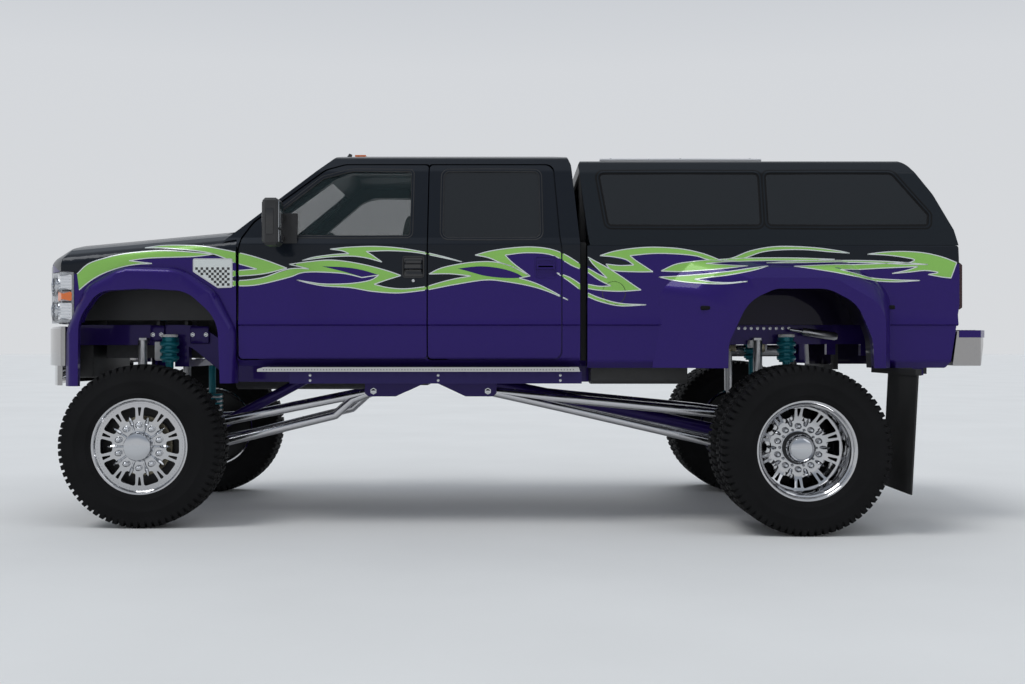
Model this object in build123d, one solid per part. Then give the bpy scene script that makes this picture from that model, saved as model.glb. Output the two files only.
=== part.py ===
"""Lifted crew-cab pickup truck with a long bed, a bed topper and dual rear wheels.

Millimetres. X runs rearward, Y to the truck's right, Z up from the ground.
The origin is on the ground under the middle of the truck's overall box.
Shapes are drawn for the right side (plus Y) and mirrored to the left.
"""
import os
from math import cos, pi, radians, sin

from build123d import *

# Driving dimensions of the whole truck
WHEELBASE = 4379.0
FRONT_AXLE_X = -2418.0
TYRE_RADIUS = 548.0
TYRE_WIDTH = 292.0
FRONT_TRACK_HALF = 1020.0
DUAL_CENTRE_Y = 1200.0
DUAL_SPACING = 337.0
BODY_HALF = 1014.0
SILL_Z = 1083.0
BELT_Z = 1957.0
ROOF_EDGE_Z = 2530.0
ROOF_CROWN_Z = 2592.0

# Cab
CAB_FRONT_X = -1792.0
CAB_BACK_X = 534.0
COWL_NOSE_X = -1978.0
GLASS_FOOT_X = -1905.0
GLASS_FOOT_Z = 1947.0
GLASS_SLOPE = 38.0
GLASS_BOW = 45.0
GLASS_HALF = 830.0
CAB_WALL = 112.0
ROOF_WALL = 50.0
CAB_END_WALL = 60.0
FLOOR_TOP_Z = 1215.0
FLOOR_UNDER_Z = 1175.0
ROCKER_INNER = 850.0
BAND_Z = (1362.0, 1429.0)
BAND_PROUD = 13.0

# Doors
DOOR_THICK = 60.0
DOOR_GAP = 9.0
DOOR_BOTTOM_Z = 1132.0
DOOR_TOP_Z = 2478.0
FRONT_DOOR_X = (-1783.0, -508.0)
REAR_DOOR_X = (-499.0, 405.0)
HINGE_SETBACK = 60.0
HINGE_INSET = 20.0
HINGE_Z = (1290.0, 1640.0)
HOOD_HINGE = (-1935.0, 540.0, 2010.0)
GATE_HINGE = (3075.0, 1405.0)
HATCH_HINGE = (2850.4, 480.0, 2414.5)
DOOR_FLANGE = 22.0
DOOR_STEP = 26.0
DOOR_SEAT_GAP = 6.0
SWING_ROOM = 40.0
JAMB = 55.0
GLASS_THICK = 6.0
GLASS_INSET = 16.0

STEERING_WHEEL = (-1310.0, -450.0, 1824.3)
COLUMN_LEAN = (0.9076, 0.0, 0.4198)

# Front end
NOSE_RADIUS = 1750.0
NOSE_TIP_X = -3310.0
HOOD_RISE = 5.3
HOOD_REF_X = -2417.0
HOOD_HALF = 770.0
HOOD_REAR_X = -1925.0
HOOD_LIP_Z = 1790.0
HOOD_THICK = 34.0
FENDER_THICK = 36.0
FLARE_HALF = 1078.0
LAMP_Z = (1383.0, 1722.0)
LAMP_REAR_X = -2897.0
LAMP_INNER_Y = 640.0
GRILLE_HALF = 630.0
APRON_Y = (700.0, 712.0)
CARRIER_X = (-3070.0, -3020.0)
BUMPER_Z = (1085.0, 1352.0)
BUMPER_TIP_X = -3323.5

# Bed, topper and rear end
BED_X = (584.0, 3090.0)
BED_BOTTOM_Z = 1070.0
BED_RAIL_Z = 1904.0
BED_FLOOR_Z = 1410.0
BED_INNER = 820.0
BED_POST_INNER = 770.0
DUALLY_HALF = 1213.0
FLARE_WALL = 26.0
TOPPER_TOP_Z = 2548.0
TOPPER_WALL = 26.0
REAR_BUMPER_X = (3105.0, 3323.5)
REAR_BUMPER_Z = (1085.0, 1322.0)

# Chassis
RAIL_Y = (440.0, 520.0)
RAIL_END_X = 3060.0
RAIL_LOW_Z = (962.0, 1140.0)
RAIL_HIGH_Z = (1226.0, 1370.0)
RECEIVER = 51.0
RECEIVER_WALL = 12.5
RECEIVER_Z = 1045.0
RECEIVER_X = (2960.0, 3213.0)
HITCH_PIN_X = 3160.0
HITCH_PIN_RADIUS = 8.1
TRANSFER_X = (-1330.0, -560.0)
EXHAUST_Y = 750.0
SPRING_Y = 622.0
PIPE_RADIUS = 48.0
LINK_Y = 470.0
MOUNT_Y = (430.0, 510.0)
LINK_RADIUS = 32.0
EYE_HALF = 38.0
AXLE_TUBE_RADIUS = 62.0
DIFF_FRONT_Y = -260.0
KINGPIN_Y = 835.0
STEER_ARM = 260.0
STEER_ARM_Z = 452.0

# Wheels
RIM_RADIUS = 311.7
FLANGE_RADIUS = 324.0
RIM_HALF = 112.0
WHEEL_SIDES = 60
LUG_CIRCLE = 285.75
LUG_COUNT = 10
SPINDLE_RADIUS = 40.0
RUN_CLEARANCE = 0.08
SEAT = 0.3

# Worked out from the driving dimensions
REAR_AXLE_X = FRONT_AXLE_X + WHEELBASE
AXLE_Z = TYRE_RADIUS
HINGE_Y = BODY_HALF - HINGE_INSET


def outline(points, radius=0.0):
    """Closed flat outline; radius is one value or one value for each corner."""
    return make_face(FilletPolyline(*points, radius=radius, close=True))


def across(face, y0, y1):
    """Push an X-Z outline from y0 to y1."""
    plane = Plane(origin=(0, y0, 0), x_dir=(1, 0, 0), z_dir=(0, -1, 0))
    return extrude(plane * face, amount=y0 - y1)


def along(face, x0, x1):
    """Push a Y-Z outline from x0 to x1."""
    plane = Plane(origin=(x0, 0, 0), x_dir=(0, 1, 0), z_dir=(1, 0, 0))
    return extrude(plane * face, amount=x1 - x0)


def upward(face, z0, z1):
    """Push an X-Y outline from z0 to z1."""
    return extrude(Plane(origin=(0, 0, z0)) * face, amount=z1 - z0)


def block(x, y, z):
    """Box from (low, high) pairs."""
    size = (x[1] - x[0], y[1] - y[0], z[1] - z[0])
    return Pos((x[0] + x[1]) / 2, (y[0] + y[1]) / 2, (z[0] + z[1]) / 2) * Box(*size)


def both(shape):
    """The right-hand shape together with its mirror image on the left."""
    return Compound(children=solids_of(shape) + solids_of(mirror(shape, about=Plane.XZ)))


def left(shape):
    """Mirror image on the left side."""
    return mirror(shape, about=Plane.XZ)


def solids_of(shape):
    return list(shape.solids())


def tube(start, end, radius):
    """Round bar between two points."""
    run = Vector(*end) - Vector(*start)
    return extrude(Plane(origin=start, z_dir=run) * Circle(radius), amount=run.length)


def cyl(centre, axis, radius, length):
    """Cylinder centred on a point."""
    return Plane(origin=centre, z_dir=axis) * Cylinder(radius, length)


def turned(points, centre):
    """Solid turned about the Y line through centre from (radius, offset) points."""
    return Pos(*centre) * revolve(make_face(Polyline(*points, close=True)), axis=Axis.Y)


def faceted(points, sides, centre):
    """Solid turned about the Y line through centre in flat facets, with a flat at the bottom."""
    turn = 2 * pi / sides

    def at(radius, offset, step):
        angle = turn * (step + 0.5) - pi / 2
        return (centre[0] + radius * cos(angle), centre[1] + offset, centre[2] + radius * sin(angle))

    faces = []
    for (r0, y0), (r1, y1) in zip(points, points[1:] + points[:1]):
        if r0 == 0 and r1 == 0:
            continue
        if y0 == y1 and 0 in (r0, r1):
            rim = [at(max(r0, r1), y0, step) for step in range(sides)]
            faces.append(Face(Wire.make_polygon(rim, close=True)))
            continue
        for step in range(sides):
            corners = [at(r0, y0, step), at(r1, y1, step), at(r1, y1, step + 1), at(r0, y0, step + 1)]
            faces.append(Face(Wire.make_polygon(corners, close=True)))
    return Solid(Shell(faces))


def mirrored_outline(half):
    """Symmetric Y-Z outline from rows of (half width, height, corner radius) going up."""
    rows = list(half) + [(-y, z, r) for y, z, r in reversed(half)]
    return outline([(y, z) for y, z, r in rows], [r for y, z, r in rows])


def cab_form(side=0.0, top=0.0, ends=0.0, floor_z=SILL_Z, rounding=1.0):
    """Outer form of the cab, or the same form drawn in by side, top and ends."""
    section = (
        (BODY_HALF - 74 - side, floor_z, 0),
        (BODY_HALF - 10 - side, floor_z + 45, 40),
        (BODY_HALF - side, BAND_Z[0] - 60, 0),
        (BODY_HALF - side, 1720, 0),
        (BODY_HALF - 12 - side, BELT_Z - 45, 30),
        (BODY_HALF - 36 - side, BELT_Z, 25),
        (820 - side, ROOF_EDGE_Z - 95 - top, 60),
        (735 - side, ROOF_EDGE_Z + 12 - top, 80),
        (440 - side, ROOF_CROWN_Z - top, 300),
    )
    slope = radians(GLASS_SLOPE)
    rise = GLASS_BOW / cos(slope)
    head_x = -1185.0
    nose = COWL_NOSE_X + ends * 3
    foot_z = GLASS_FOOT_Z + (nose - GLASS_FOOT_X) * sin(slope) / cos(slope) + rise
    head_z = GLASS_FOOT_Z + (head_x - GLASS_FOOT_X) * sin(slope) / cos(slope) + rise
    front = CAB_FRONT_X + ends
    back = CAB_BACK_X - ends
    profile = [
        (front, floor_z), (front, 1890 + ends), (nose, 1900 + ends), (nose, foot_z),
        (head_x, head_z), (-760, ROOF_CROWN_Z + 14 - top), (330, ROOF_CROWN_Z + 8 - top),
        (back - 78, ROOF_EDGE_Z + 18 - top), (back - 52, ROOF_EDGE_Z - 50 - top),
        (back, BELT_Z - 30), (back, floor_z),
    ]
    corners = [0, 0, 0, 0, 120, 300, 0, 30, 25, 60, 0]
    section = [(y, z, r * rounding) for y, z, r in section]
    corners = [r * rounding for r in corners]
    form = along(mirrored_outline(section), -2100, 700)
    form &= across(outline(profile, corners), -1100, 1100)
    bow_radius = (GLASS_HALF ** 2 + GLASS_BOW ** 2) / (2 * GLASS_BOW)
    slope_dir = (cos(slope), 0, sin(slope))
    plane = Plane(origin=(GLASS_FOOT_X, 0, GLASS_FOOT_Z), x_dir=(0, 1, 0), z_dir=slope_dir)
    disc = plane * Pos(0, GLASS_BOW - top - bow_radius) * Circle(bow_radius)
    bow = extrude(disc, amount=4500, both=True)
    return form & bow


def side_band(x0, x1):
    """Raised band along the body side."""
    z0, z1 = BAND_Z
    face = outline([(BODY_HALF - 20, z0 - 6), (BODY_HALF, z0 - 6), (BODY_HALF + BAND_PROUD, z0 + 4),
                    (BODY_HALF, z1), (BODY_HALF - 20, z1)])
    return both(along(face, x0, x1))


def front_door_outline(grow=0.0):
    """Front door seen from the side, grown all round by grow."""
    x0, x1 = FRONT_DOOR_X[0] - grow, FRONT_DOOR_X[1] + grow
    top, g = DOOR_TOP_Z + grow, grow
    points = [(x0, DOOR_BOTTOM_Z - g), (x0, 1876), (-1766 - g, 1948 + g), (-1690 - g, 2062 + g),
              (-1215 - g, 2436 + g), (-1085 - g / 2, top), (x1, top), (x1, DOOR_BOTTOM_Z - g)]
    return outline(points, [30, 40, 60, 200, 120, 120, 25, 30])


def rear_door_outline(grow=0.0):
    """Rear door seen from the side, grown all round by grow."""
    x0, x1 = REAR_DOOR_X[0] - grow, REAR_DOOR_X[1] + grow
    top, low = DOOR_TOP_Z + grow, DOOR_BOTTOM_Z - grow
    points = [(x0, low), (x0, top), (352 + grow, top), (x1 - 14, 1980), (x1, 1880), (x1, low)]
    return outline(points, [30, 25, 60, 60, 60, 60])


def front_window(grow=0.0):
    g = grow
    points = [(-1478 - g, 1968 - g), (-620 + g, 1968 - g), (-620 + g, 2434 + g),
              (-1040 - g, 2434 + g), (-1235 - g, 2382 + g), (-1512 - g, 2152 + g)]
    return outline(points, [25, 30, 30, 300, 60, 30])


def rear_window(grow=0.0):
    g = grow
    points = [(-404 - g, 1956 - g), (270 + g, 1956 - g), (262 + g, 2434 + g), (-404 - g, 2434 + g)]
    return outline(points, 45)


def side_shell(outer, thick):
    """The cab's outer form down to a depth from its sides, with nothing of roof or windshield."""
    return outer - cab_form(side=thick, top=-5, rounding=0)


def make_door(outer, door_outline, window, handle_x):
    """One right-hand door with a thin flange all round, its window cut and its pull handle."""
    door = side_shell(outer, DOOR_FLANGE) & across(door_outline(), 400, 1200)
    door += side_shell(outer, DOOR_THICK) & across(door_outline(-DOOR_STEP), 400, 1200)
    door -= across(window, 400, 1200)
    recess = across(outline([(handle_x - 66, 1690), (handle_x + 66, 1690), (handle_x + 66, 1822),
                             (handle_x - 66, 1822)], 12), BODY_HALF - 14, 1100)
    cup = block((handle_x - 52, handle_x + 52), (BODY_HALF - 30, 1100), (1712, 1800))
    bar = block((handle_x - 62, handle_x + 62), (BODY_HALF - 14, BODY_HALF + 14), (1742, 1772))
    door = door - recess + (block((handle_x - 66, handle_x + 66), (BODY_HALF - 40, BODY_HALF - 8),
                                  (1690, 1822)) - cup)
    return door + bar


def door_hinge(edge_x, z):
    """Cab side of one right-hand door hinge, and the notch and bore it needs in the door."""
    x = edge_x + HINGE_SETBACK
    leaf = block((x - 60, x + 9), (BODY_HALF - CAB_WALL - 2, BODY_HALF - CAB_WALL + 10), (z - 30, z + 30))
    leaf += block((x - 9, x + 9), (BODY_HALF - CAB_WALL, HINGE_Y), (z - 30, z + 30))
    leaf += cyl((x, HINGE_Y, z), (0, 0, 1), 9, 60) + cyl((x, HINGE_Y, z), (0, 0, 1), 6, 90)
    notch = block((edge_x - 20, x + 20), (BODY_HALF - 90, BODY_HALF - 7), (z - 35, z + 35))
    return leaf, notch + cyl((x, HINGE_Y, z), (0, 0, 1), 6 + RUN_CLEARANCE, 92)


def make_cab(parts):
    """Cab shell, its doors and all glass that the cab and doors hold."""
    outer = cab_form()
    outer += side_band(CAB_FRONT_X, CAB_BACK_X)
    inner = cab_form(side=CAB_WALL, top=ROOF_WALL, ends=CAB_END_WALL, floor_z=FLOOR_TOP_Z, rounding=0)
    doors = (
        ("front", front_door_outline, front_window, -598.0, FRONT_DOOR_X[0]),
        ("rear", rear_door_outline, rear_window, 300.0, REAR_DOOR_X[0]),
    )
    cab = outer - inner
    cab -= block((-2100, 700), (-ROCKER_INNER, ROCKER_INNER), (SILL_Z - 10, FLOOR_UNDER_Z))
    flange_seat = side_shell(outer, DOOR_FLANGE + DOOR_SEAT_GAP)
    core_seat = side_shell(outer, DOOR_THICK + DOOR_SEAT_GAP)
    swing_room = side_shell(outer, DOOR_THICK + SWING_ROOM)
    for name, door_outline, window, handle_x, hinge_edge in doors:
        recess = across(door_outline(DOOR_GAP), 400, 1200)
        hinge_side = block((hinge_edge - DOOR_GAP, hinge_edge + 130), (400, 1200), (SILL_Z, ROOF_EDGE_Z))
        core_recess = across(door_outline(4 - DOOR_STEP + DOOR_GAP * 2), 400, 1200)
        opening = across(door_outline(-JAMB), 400, 1200)
        for cut in (flange_seat & recess, core_seat & core_recess, swing_room & recess & hinge_side, opening):
            cab = cab - cut - left(cut)
        door = make_door(outer, door_outline, window(), handle_x)
        for z in HINGE_Z:
            leaf, notch = door_hinge(hinge_edge, z)
            cab = cab + leaf + left(leaf)
            door -= notch
        glass = cab_form(side=GLASS_INSET, top=-5) - cab_form(side=GLASS_INSET + GLASS_THICK, top=-10)
        glass &= across(window(), 400, 1200)
        parts[f"door_{name}_right"] = door
        parts[f"door_{name}_left"] = left(door)
        parts[f"glass_{name}_right"] = glass
        parts[f"glass_{name}_left"] = left(glass)

    slope = radians(GLASS_SLOPE)
    plane = Plane(origin=(GLASS_FOOT_X, 0, GLASS_FOOT_Z), x_dir=(0, 1, 0),
                  z_dir=(sin(slope), 0, -cos(slope)))
    pane = outline([(-748, 75), (748, 75), (690, 800), (-690, 800)], [60, 60, 70, 70])
    hole = extrude(plane * pane, amount=140, both=True)
    glass_front = (cab_form(top=8) - cab_form(top=8 + GLASS_THICK)) & hole
    back_hole = along(outline([(-600, 2010), (600, 2010), (560, 2400), (-560, 2400)], 50), 380, 700)
    back_low, back_high = CAB_BACK_X - GLASS_INSET, CAB_BACK_X - GLASS_INSET - 52
    slab = Polyline((back_low, BELT_Z - 30), (back_high, ROOF_EDGE_Z - 50),
                    (back_high - GLASS_THICK, ROOF_EDGE_Z - 50), (back_low - GLASS_THICK, BELT_Z - 30),
                    close=True)
    glass_back = across(make_face(slab), -700, 700) & back_hole
    shoulder = nose_form(side=-6, top=-6, nose=-6)
    shoulder &= block((-2100, -1700), (HOOD_HALF - 10, 1200), (1000, 2200))
    cab = cab - hole - back_hole - shoulder - left(shoulder)
    x, y, z = HOOD_HINGE
    hood_arm = block((x - 9, x + 9), (y - 7, y + 7), (z - 75, z)) + cyl((x, y, z), (0, 1, 0), 9, 14)
    cab += both(hood_arm + cyl((x, y, z), (0, 1, 0), 6, 50))
    parts["cab"] = cab
    parts["cab_glass"] = Compound(children=solids_of(glass_front) + solids_of(glass_back))


def nose_form(side=0.0, top=0.0, nose=0.0, rounding=1.0):
    """Form of hood, fenders and lamps together, or the same drawn in."""
    section = (
        (BODY_HALF - 4 - side, 800, 0),
        (BODY_HALF - 2 - side, 1872 - top, 95),
        (885 - side, 1926 - top, 90),
        (HOOD_HALF - side, 1950 - top, 60),
        (470 - side, 1996 - top, 260),
        (200, 2008 - top, 0),
    )
    rise = radians(HOOD_RISE)
    plane = Plane(origin=(-3500, 0, (-3500 - HOOD_REF_X) * sin(rise) / cos(rise)),
                  x_dir=(0, 1, 0), z_dir=(1, 0, 0))
    section = [(y, z, r * rounding) for y, z, r in section]
    form = extrude(plane * mirrored_outline(section), amount=1760 / cos(rise),
                   dir=Vector(cos(rise), 0, sin(rise)))
    r = NOSE_RADIUS - nose
    turned_nose = outline([(0, 900), (r, 900), (r, 1806 - top), (r - 124, 1896 - top),
                           (r - 420, 2020 - top), (0, 2120)],
                          [0, 0, 90 * rounding, 120 * rounding, 0, 0])
    plane = Plane(origin=(NOSE_TIP_X + NOSE_RADIUS, 0, 0), x_dir=(1, 0, 0), z_dir=(0, -1, 0))
    nose_solid = revolve(plane * turned_nose, axis=Axis((NOSE_TIP_X + NOSE_RADIUS, 0, 0), (0, 0, 1)))
    return form & nose_solid & block((-3500, CAB_FRONT_X - DOOR_GAP), (-1100, 1100), (900, 2200))


def front_arch(grow=0.0):
    """Front wheel opening seen from the side."""
    g = grow
    points = [(-2852 - g, 700), (-2848 - g, 1400), (-2715 - g, 1590 + g), (-2420, 1606 + g),
              (-2120 + g, 1590 + g), (-1912 + g, 1400), (-1884 + g, 700)]
    return outline(points, [0, 260, 160, 0, 220, 260, 0])


def make_front(parts):
    """Hood, fenders with their flares, grille, lamps, bumper and engine bay walls."""
    full = nose_form()
    hood_zone = block((-3400, HOOD_REAR_X), (-HOOD_HALF + 6, HOOD_HALF - 6), (HOOD_LIP_Z, 2200))
    hood_under = nose_form(top=HOOD_THICK, nose=HOOD_THICK)
    x, y, z = HOOD_HINGE
    hinge_cut = block((x - 14, x + 60), (y - 12, y + 12), (z - 60, z + 60))
    hinge_cut += cyl((x, y, z), (0, 1, 0), 6 + RUN_CLEARANCE, 52)
    parts["hood"] = (full - hood_under) & hood_zone - both(hinge_cut)

    shell = full - nose_form(side=FENDER_THICK, top=FENDER_THICK, nose=FENDER_THICK, rounding=0)
    fender = shell & block((-3400, -1600), (HOOD_HALF, 1100), (1110, 2200))
    lamp_cut = block((-3400, LAMP_REAR_X), (LAMP_INNER_Y - 10, 1200), (LAMP_Z[0] - 4, LAMP_Z[1] + 4))
    low_cut = block((-3400, -2700), (HOOD_HALF - 10, 1200), (1000, LAMP_Z[0] - 4))
    fender = fender - lamp_cut - low_cut
    flare_points = [(-2946, 900), (-2940, 1330), (-2812, 1620), (-2590, 1752), (-2180, 1752),
                    (-1935, 1590), (-1801, 1330), (-1801, 900)]
    flare = across(outline(flare_points, [0, 160, 180, 200, 240, 200, 120, 0]), 930, FLARE_HALF)
    rim_edges = flare.faces().sort_by(Axis.Y)[-1].outer_wire().edges()
    flare = chamfer(rim_edges.sort_by(Axis.Z)[1:], 40)
    wall = 28
    hollow_points = [(x + wall if x < FRONT_AXLE_X else x - wall, z - wall) for x, z in flare_points]
    hollow = across(outline(hollow_points, [0, 140, 160, 180, 220, 180, 100, 0]), 900, FLARE_HALF - 44)
    fender = fender + (flare - hollow) - across(front_arch(), 500, 1300)
    fender -= block((-3100, FRONT_AXLE_X), (700, 1200), (850, 948))
    fender -= block((FRONT_AXLE_X, -1700), (700, 1200), (850, 968))
    for x in (-2700, -2100):
        fender += block((x - 30, x + 30), (APRON_Y[1] + SEAT, 800), (1790, 1810))
        fender += block((x - 30, x + 30), (788, 800), (1790, 1915))
    parts["fenders"] = both(fender)

    lamp = nose_form(nose=4, side=4) - nose_form(side=70, nose=70, rounding=0)
    lamp &= block((-3400, LAMP_REAR_X - 6), (LAMP_INNER_Y, 1200), LAMP_Z)
    lamp -= across(outline([(x - 5 if x < FRONT_AXLE_X else x, z + 5) for x, z in flare_points],
                           [0, 160, 180, 200, 240, 200, 120, 0]), 900, 1200)
    lamp += block((-3112, CARRIER_X[0] - SEAT), (645, 700), (1410, 1460))
    parts["headlamps"] = both(lamp)

    face = full - nose_form(nose=46)
    grille = face & block((-3400, -2900), (-GRILLE_HALF, GRILLE_HALF), (LAMP_Z[0] - 4, HOOD_LIP_Z - 8))
    for row in range(3):
        z0 = LAMP_Z[0] + 36 + row * 116
        for y0, y1 in ((-590, -18), (18, 590)):
            grille -= block((-3400, -2900), (y0, y1), (z0, z0 + 88))
    grille += block((-3280, CARRIER_X[0] - SEAT), (-16, 16), (1480, 1640))
    grille += both(block((-3165, CARRIER_X[0] - SEAT), (596, 620), (1450, 1700)))
    parts["grille"] = grille

    core = block(CARRIER_X, (-625, 625), (RAIL_HIGH_Z[1] + SEAT, 1760))
    apron = across(outline([(-3045, 1400), (-3045, 1710), (-2800, 1830), (CAB_FRONT_X - 6, 1872),
                            (CAB_FRONT_X - 6, 1400)]), *APRON_Y)
    aprons = both(apron)
    tie = block(CARRIER_X, (-APRON_Y[1], APRON_Y[1]), (1400, 1470))
    parts["engine_bay"] = core + aprons + tie

    z0, z1 = BUMPER_Z
    radius = 1700.0
    centre_x = BUMPER_TIP_X + radius
    plan = Pos(centre_x, 0) * (Circle(radius) - Circle(radius - 55))
    bar = upward(plan, z0, z1) & block((-3400, -2960), (-1010, 1010), (z0, z1))
    bar = chamfer(bar.edges().filter_by(GeomType.CIRCLE).group_by(Axis.Z)[-1], 14)
    shelf = upward(Pos(centre_x, 0) * (Circle(radius - 50) - Circle(radius - 110)), z1 - 22, z1)
    shelf &= block((-3400, -3010), (-1005, 1005), (z0, z1))
    valance = upward(Pos(centre_x, 0) * (Circle(radius - 30) - Circle(radius - 60)), z0 - 140, z0)
    valance &= block((-3400, -2990), (-800, 800), (z0 - 200, z0))
    intake = block((-3400, -2900), (-420, 420), (z0 + 40, z0 + 120))
    arms = both(block((-3215, -3120 - SEAT), (RAIL_Y[0] + 6, RAIL_Y[1] - 6), (RAIL_HIGH_Z[0] + 10, 1325)))
    parts["front_bumper"] = bar + shelf + valance - intake + arms


def rear_arch(grow=0.0):
    """Rear wheel opening seen from the side."""
    g = grow
    points = [(1500 - g, 900), (1508 - g, 1240), (1640 - g, 1520 + g), (1820, 1600 + g),
              (2170, 1600 + g), (2360 + g, 1500 + g), (2462 + g, 1260), (2480 + g, 900)]
    return outline(points, [0, 200, 260, 160, 240, 240, 240, 0])


def bed_side_profile():
    """Bed wall seen from the side."""
    x0, x1 = BED_X
    points = [(x0, BED_BOTTOM_Z), (x0, BED_RAIL_Z), (x1 + 16, BED_RAIL_Z), (x1 + 16, 1500),
              (x1 - 40, BED_BOTTOM_Z + 40), (x1 - 60, BED_BOTTOM_Z)]
    return outline(points, [10, 6, 20, 30, 30, 20])


def dually_flare(draw_in):
    """Wide flare over the right twin wheels, or its inside when drawn in."""
    d = draw_in
    low = BED_BOTTOM_Z + 2 - (60 if d else 0)
    rings = (
        # y, front x, front shoulder x and z, top front x, top z, top rear x, rear shoulder z, rear x
        (BODY_HALF - 12 - d, 1025, 1060, 1600, 1290, 1806, 2330, 1600, 2640),
        (BODY_HALF + 130 - d, 1265, 1300, 1560, 1475, 1744, 2262, 1560, 2592),
        (DUALLY_HALF - d, 1440, 1462, 1480, 1630, 1672, 2208, 1480, 2548),
    )
    sections = []
    for y, x0, x1, z1, x2, z2, x3, z3, x4 in rings:
        points = [(x0 + d, low), (x1 + d, z1 - d), (x2 + d, z2 - d), (x3 - d, z2 - d), (x4 - d, z3 - d),
                  (x4 - d, low)]
        plane = Plane(origin=(0, y, 0), x_dir=(1, 0, 0), z_dir=(0, -1, 0))
        sections.append(plane * outline(points, [0, 120, 180, 180, 200, 0]))
    return loft(sections, ruled=True)


def make_bed(parts):
    """Bed with its floor, walls and wide wheel flares."""
    section = [(BED_INNER, BED_BOTTOM_Z), (BODY_HALF - 60, BED_BOTTOM_Z), (BODY_HALF - 8, 1115),
               (BODY_HALF, 1300), (BODY_HALF, 1720), (BODY_HALF - 20, BED_RAIL_Z), (BED_INNER, BED_RAIL_Z)]
    wall = along(outline(section, [0, 0, 40, 0, 60, 12, 0]), BED_X[0], BED_X[1] + 40)
    wall &= across(bed_side_profile(), 700, 1100)
    wall += side_band(BED_X[0], BED_X[1] + 6) & block((0, 4000), (0, 1200), (1000, 2000))
    post = block((BED_X[1] - 90, BED_X[1]), (BED_POST_INNER, BED_INNER + 5), (BED_FLOOR_Z - 16, BED_RAIL_Z))

    flare = dually_flare(0)
    flare_in = dually_flare(FLARE_WALL)
    well = across(rear_arch(60), BED_INNER - 180, BODY_HALF - 20)
    mouth = across(rear_arch(), 500, 1400)
    post -= cyl((GATE_HINGE[0], BED_POST_INNER, GATE_HINGE[1]), (0, 1, 0), 6 + RUN_CLEARANCE, 42)
    side = (wall + post + flare) - flare_in
    side = side - well - mouth

    house_out = across(rear_arch(72), 645, BED_INNER + 6)
    house_out &= block((0, 4000), (0, 1200), (BED_FLOOR_Z - 40, 1900))
    house_in = across(rear_arch(60), 657, 1100)
    side = side + (house_out - house_in)
    floor_y = (-BED_INNER - 4, BED_INNER + 4)
    floor = block((BED_X[0], BED_X[1] - 50), floor_y, (BED_FLOOR_Z - 16, BED_FLOOR_Z))
    floor -= both(block((1380, 2600), (657, 900), (1300, BED_FLOOR_Z + 1)) & house_in)
    front_wall = block((BED_X[0], BED_X[0] + 50), floor_y, (1390, BED_RAIL_Z))
    bed = side + left(side) + floor + front_wall
    for x in (700, 1150, 1800, 2350, 2900):
        bed += block((x - 40, x + 40), (-640, 640), (RAIL_HIGH_Z[1] + SEAT, BED_FLOOR_Z - 15))
    parts["bed"] = bed


def topper_form(draw_in=0.0, drop=0.0):
    """Outer form of the bed topper, or the same drawn in."""
    d = draw_in
    section = (
        (BODY_HALF - 26 - d, BED_RAIL_Z + SEAT - drop, 0),
        (BODY_HALF - 46 - d, 2010, 40),
        (848 - d, 2420, 60),
        (775 - d, 2508 - d, 60),
        (470 - d, TOPPER_TOP_Z - d, 300),
    )
    profile = [(604 + d, BED_RAIL_Z + SEAT - drop), (588 + d, 1990), (530 + d, 2480 - d), (560 + d, 2540 - d),
               (1500, 2560 - d), (2700, 2545 - d), (2815 - d, 2480 - d), (2965 - d, 2262), (3085 - d, 2010),
               (3110 - d, BED_RAIL_Z + SEAT - drop)]
    radii = [0, 60, 30, 30, 0, 120, 120, 200, 120, 0]
    return along(mirrored_outline(section), 450, 3200) & across(outline(profile, radii), -1100, 1100)


def topper_panes(grow=0.0):
    """Front and rear side windows seen from the side."""
    g = grow
    first = outline([(722 - g, 2034 - g), (1780 + g, 2034 - g), (1780 + g, 2420 + g),
                     (660 - g, 2420 + g)], 40)
    second = outline([(1812 - g, 2034 - g), (2915 + g, 2034 - g), (2928 + g, 2120), (2696 + g, 2420 + g),
                      (1812 - g, 2420 + g)], [40, 30, 30, 60, 40])
    return first, second


def make_topper(parts):
    """Hollow topper, its side glass and its rear hatch."""
    outer = topper_form()
    shell = outer - topper_form(TOPPER_WALL, drop=20)
    skin = topper_form(6) - topper_form(6 + GLASS_THICK)
    panes = []
    for face in topper_panes():
        shell = shell - across(face, 500, 1100) - across(face, -1100, -500)
        panes += solids_of(both(skin & across(face, 500, 1100)))
    parts["topper_glass"] = Compound(children=panes)
    hatch_hole, zone = (
        along(outline([(-792 - g, BED_RAIL_Z + 12 - g), (792 + g, BED_RAIL_Z + 12 - g), (692 + g, 2432 + g),
                       (-692 - g, 2432 + g)], [20, 20, 60, 60]), 2700, 3300) for g in (8, 0))
    hatch_hole += block((3000, 3300), (-800, 800), (1880, BED_RAIL_Z + 12))
    view = along(outline([(-700, 1990), (700, 1990), (610, 2370), (-610, 2370)], 60), 2700, 3300)
    hatch = (outer - topper_form(TOPPER_WALL, drop=20)) & zone
    x, y, z = HATCH_HINGE
    arm = across(outline([(2808, 2448), (2836, 2448), (2859, 2416), (2856, 2408), (2846, 2405),
                          (2822, 2426)], 2), y - 7, y + 7)
    arm += cyl((x, y, z), (0, 1, 0), 4, 44)
    notch = block((x - 70, x + 50), (y - 12, y + 12), (z - 14, z + 40))
    notch += cyl((x, y, z), (0, 1, 0), 4 + RUN_CLEARANCE, 46)
    parts["topper_hatch"] = hatch - view - both(notch)
    parts["hatch_glass"] = skin & view & zone
    front_pane = along(outline([(-560, 2010), (560, 2010), (520, 2380), (-520, 2380)], 50), 500, 700)
    parts["topper"] = shell - hatch_hole - front_pane + both(arm)


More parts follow.
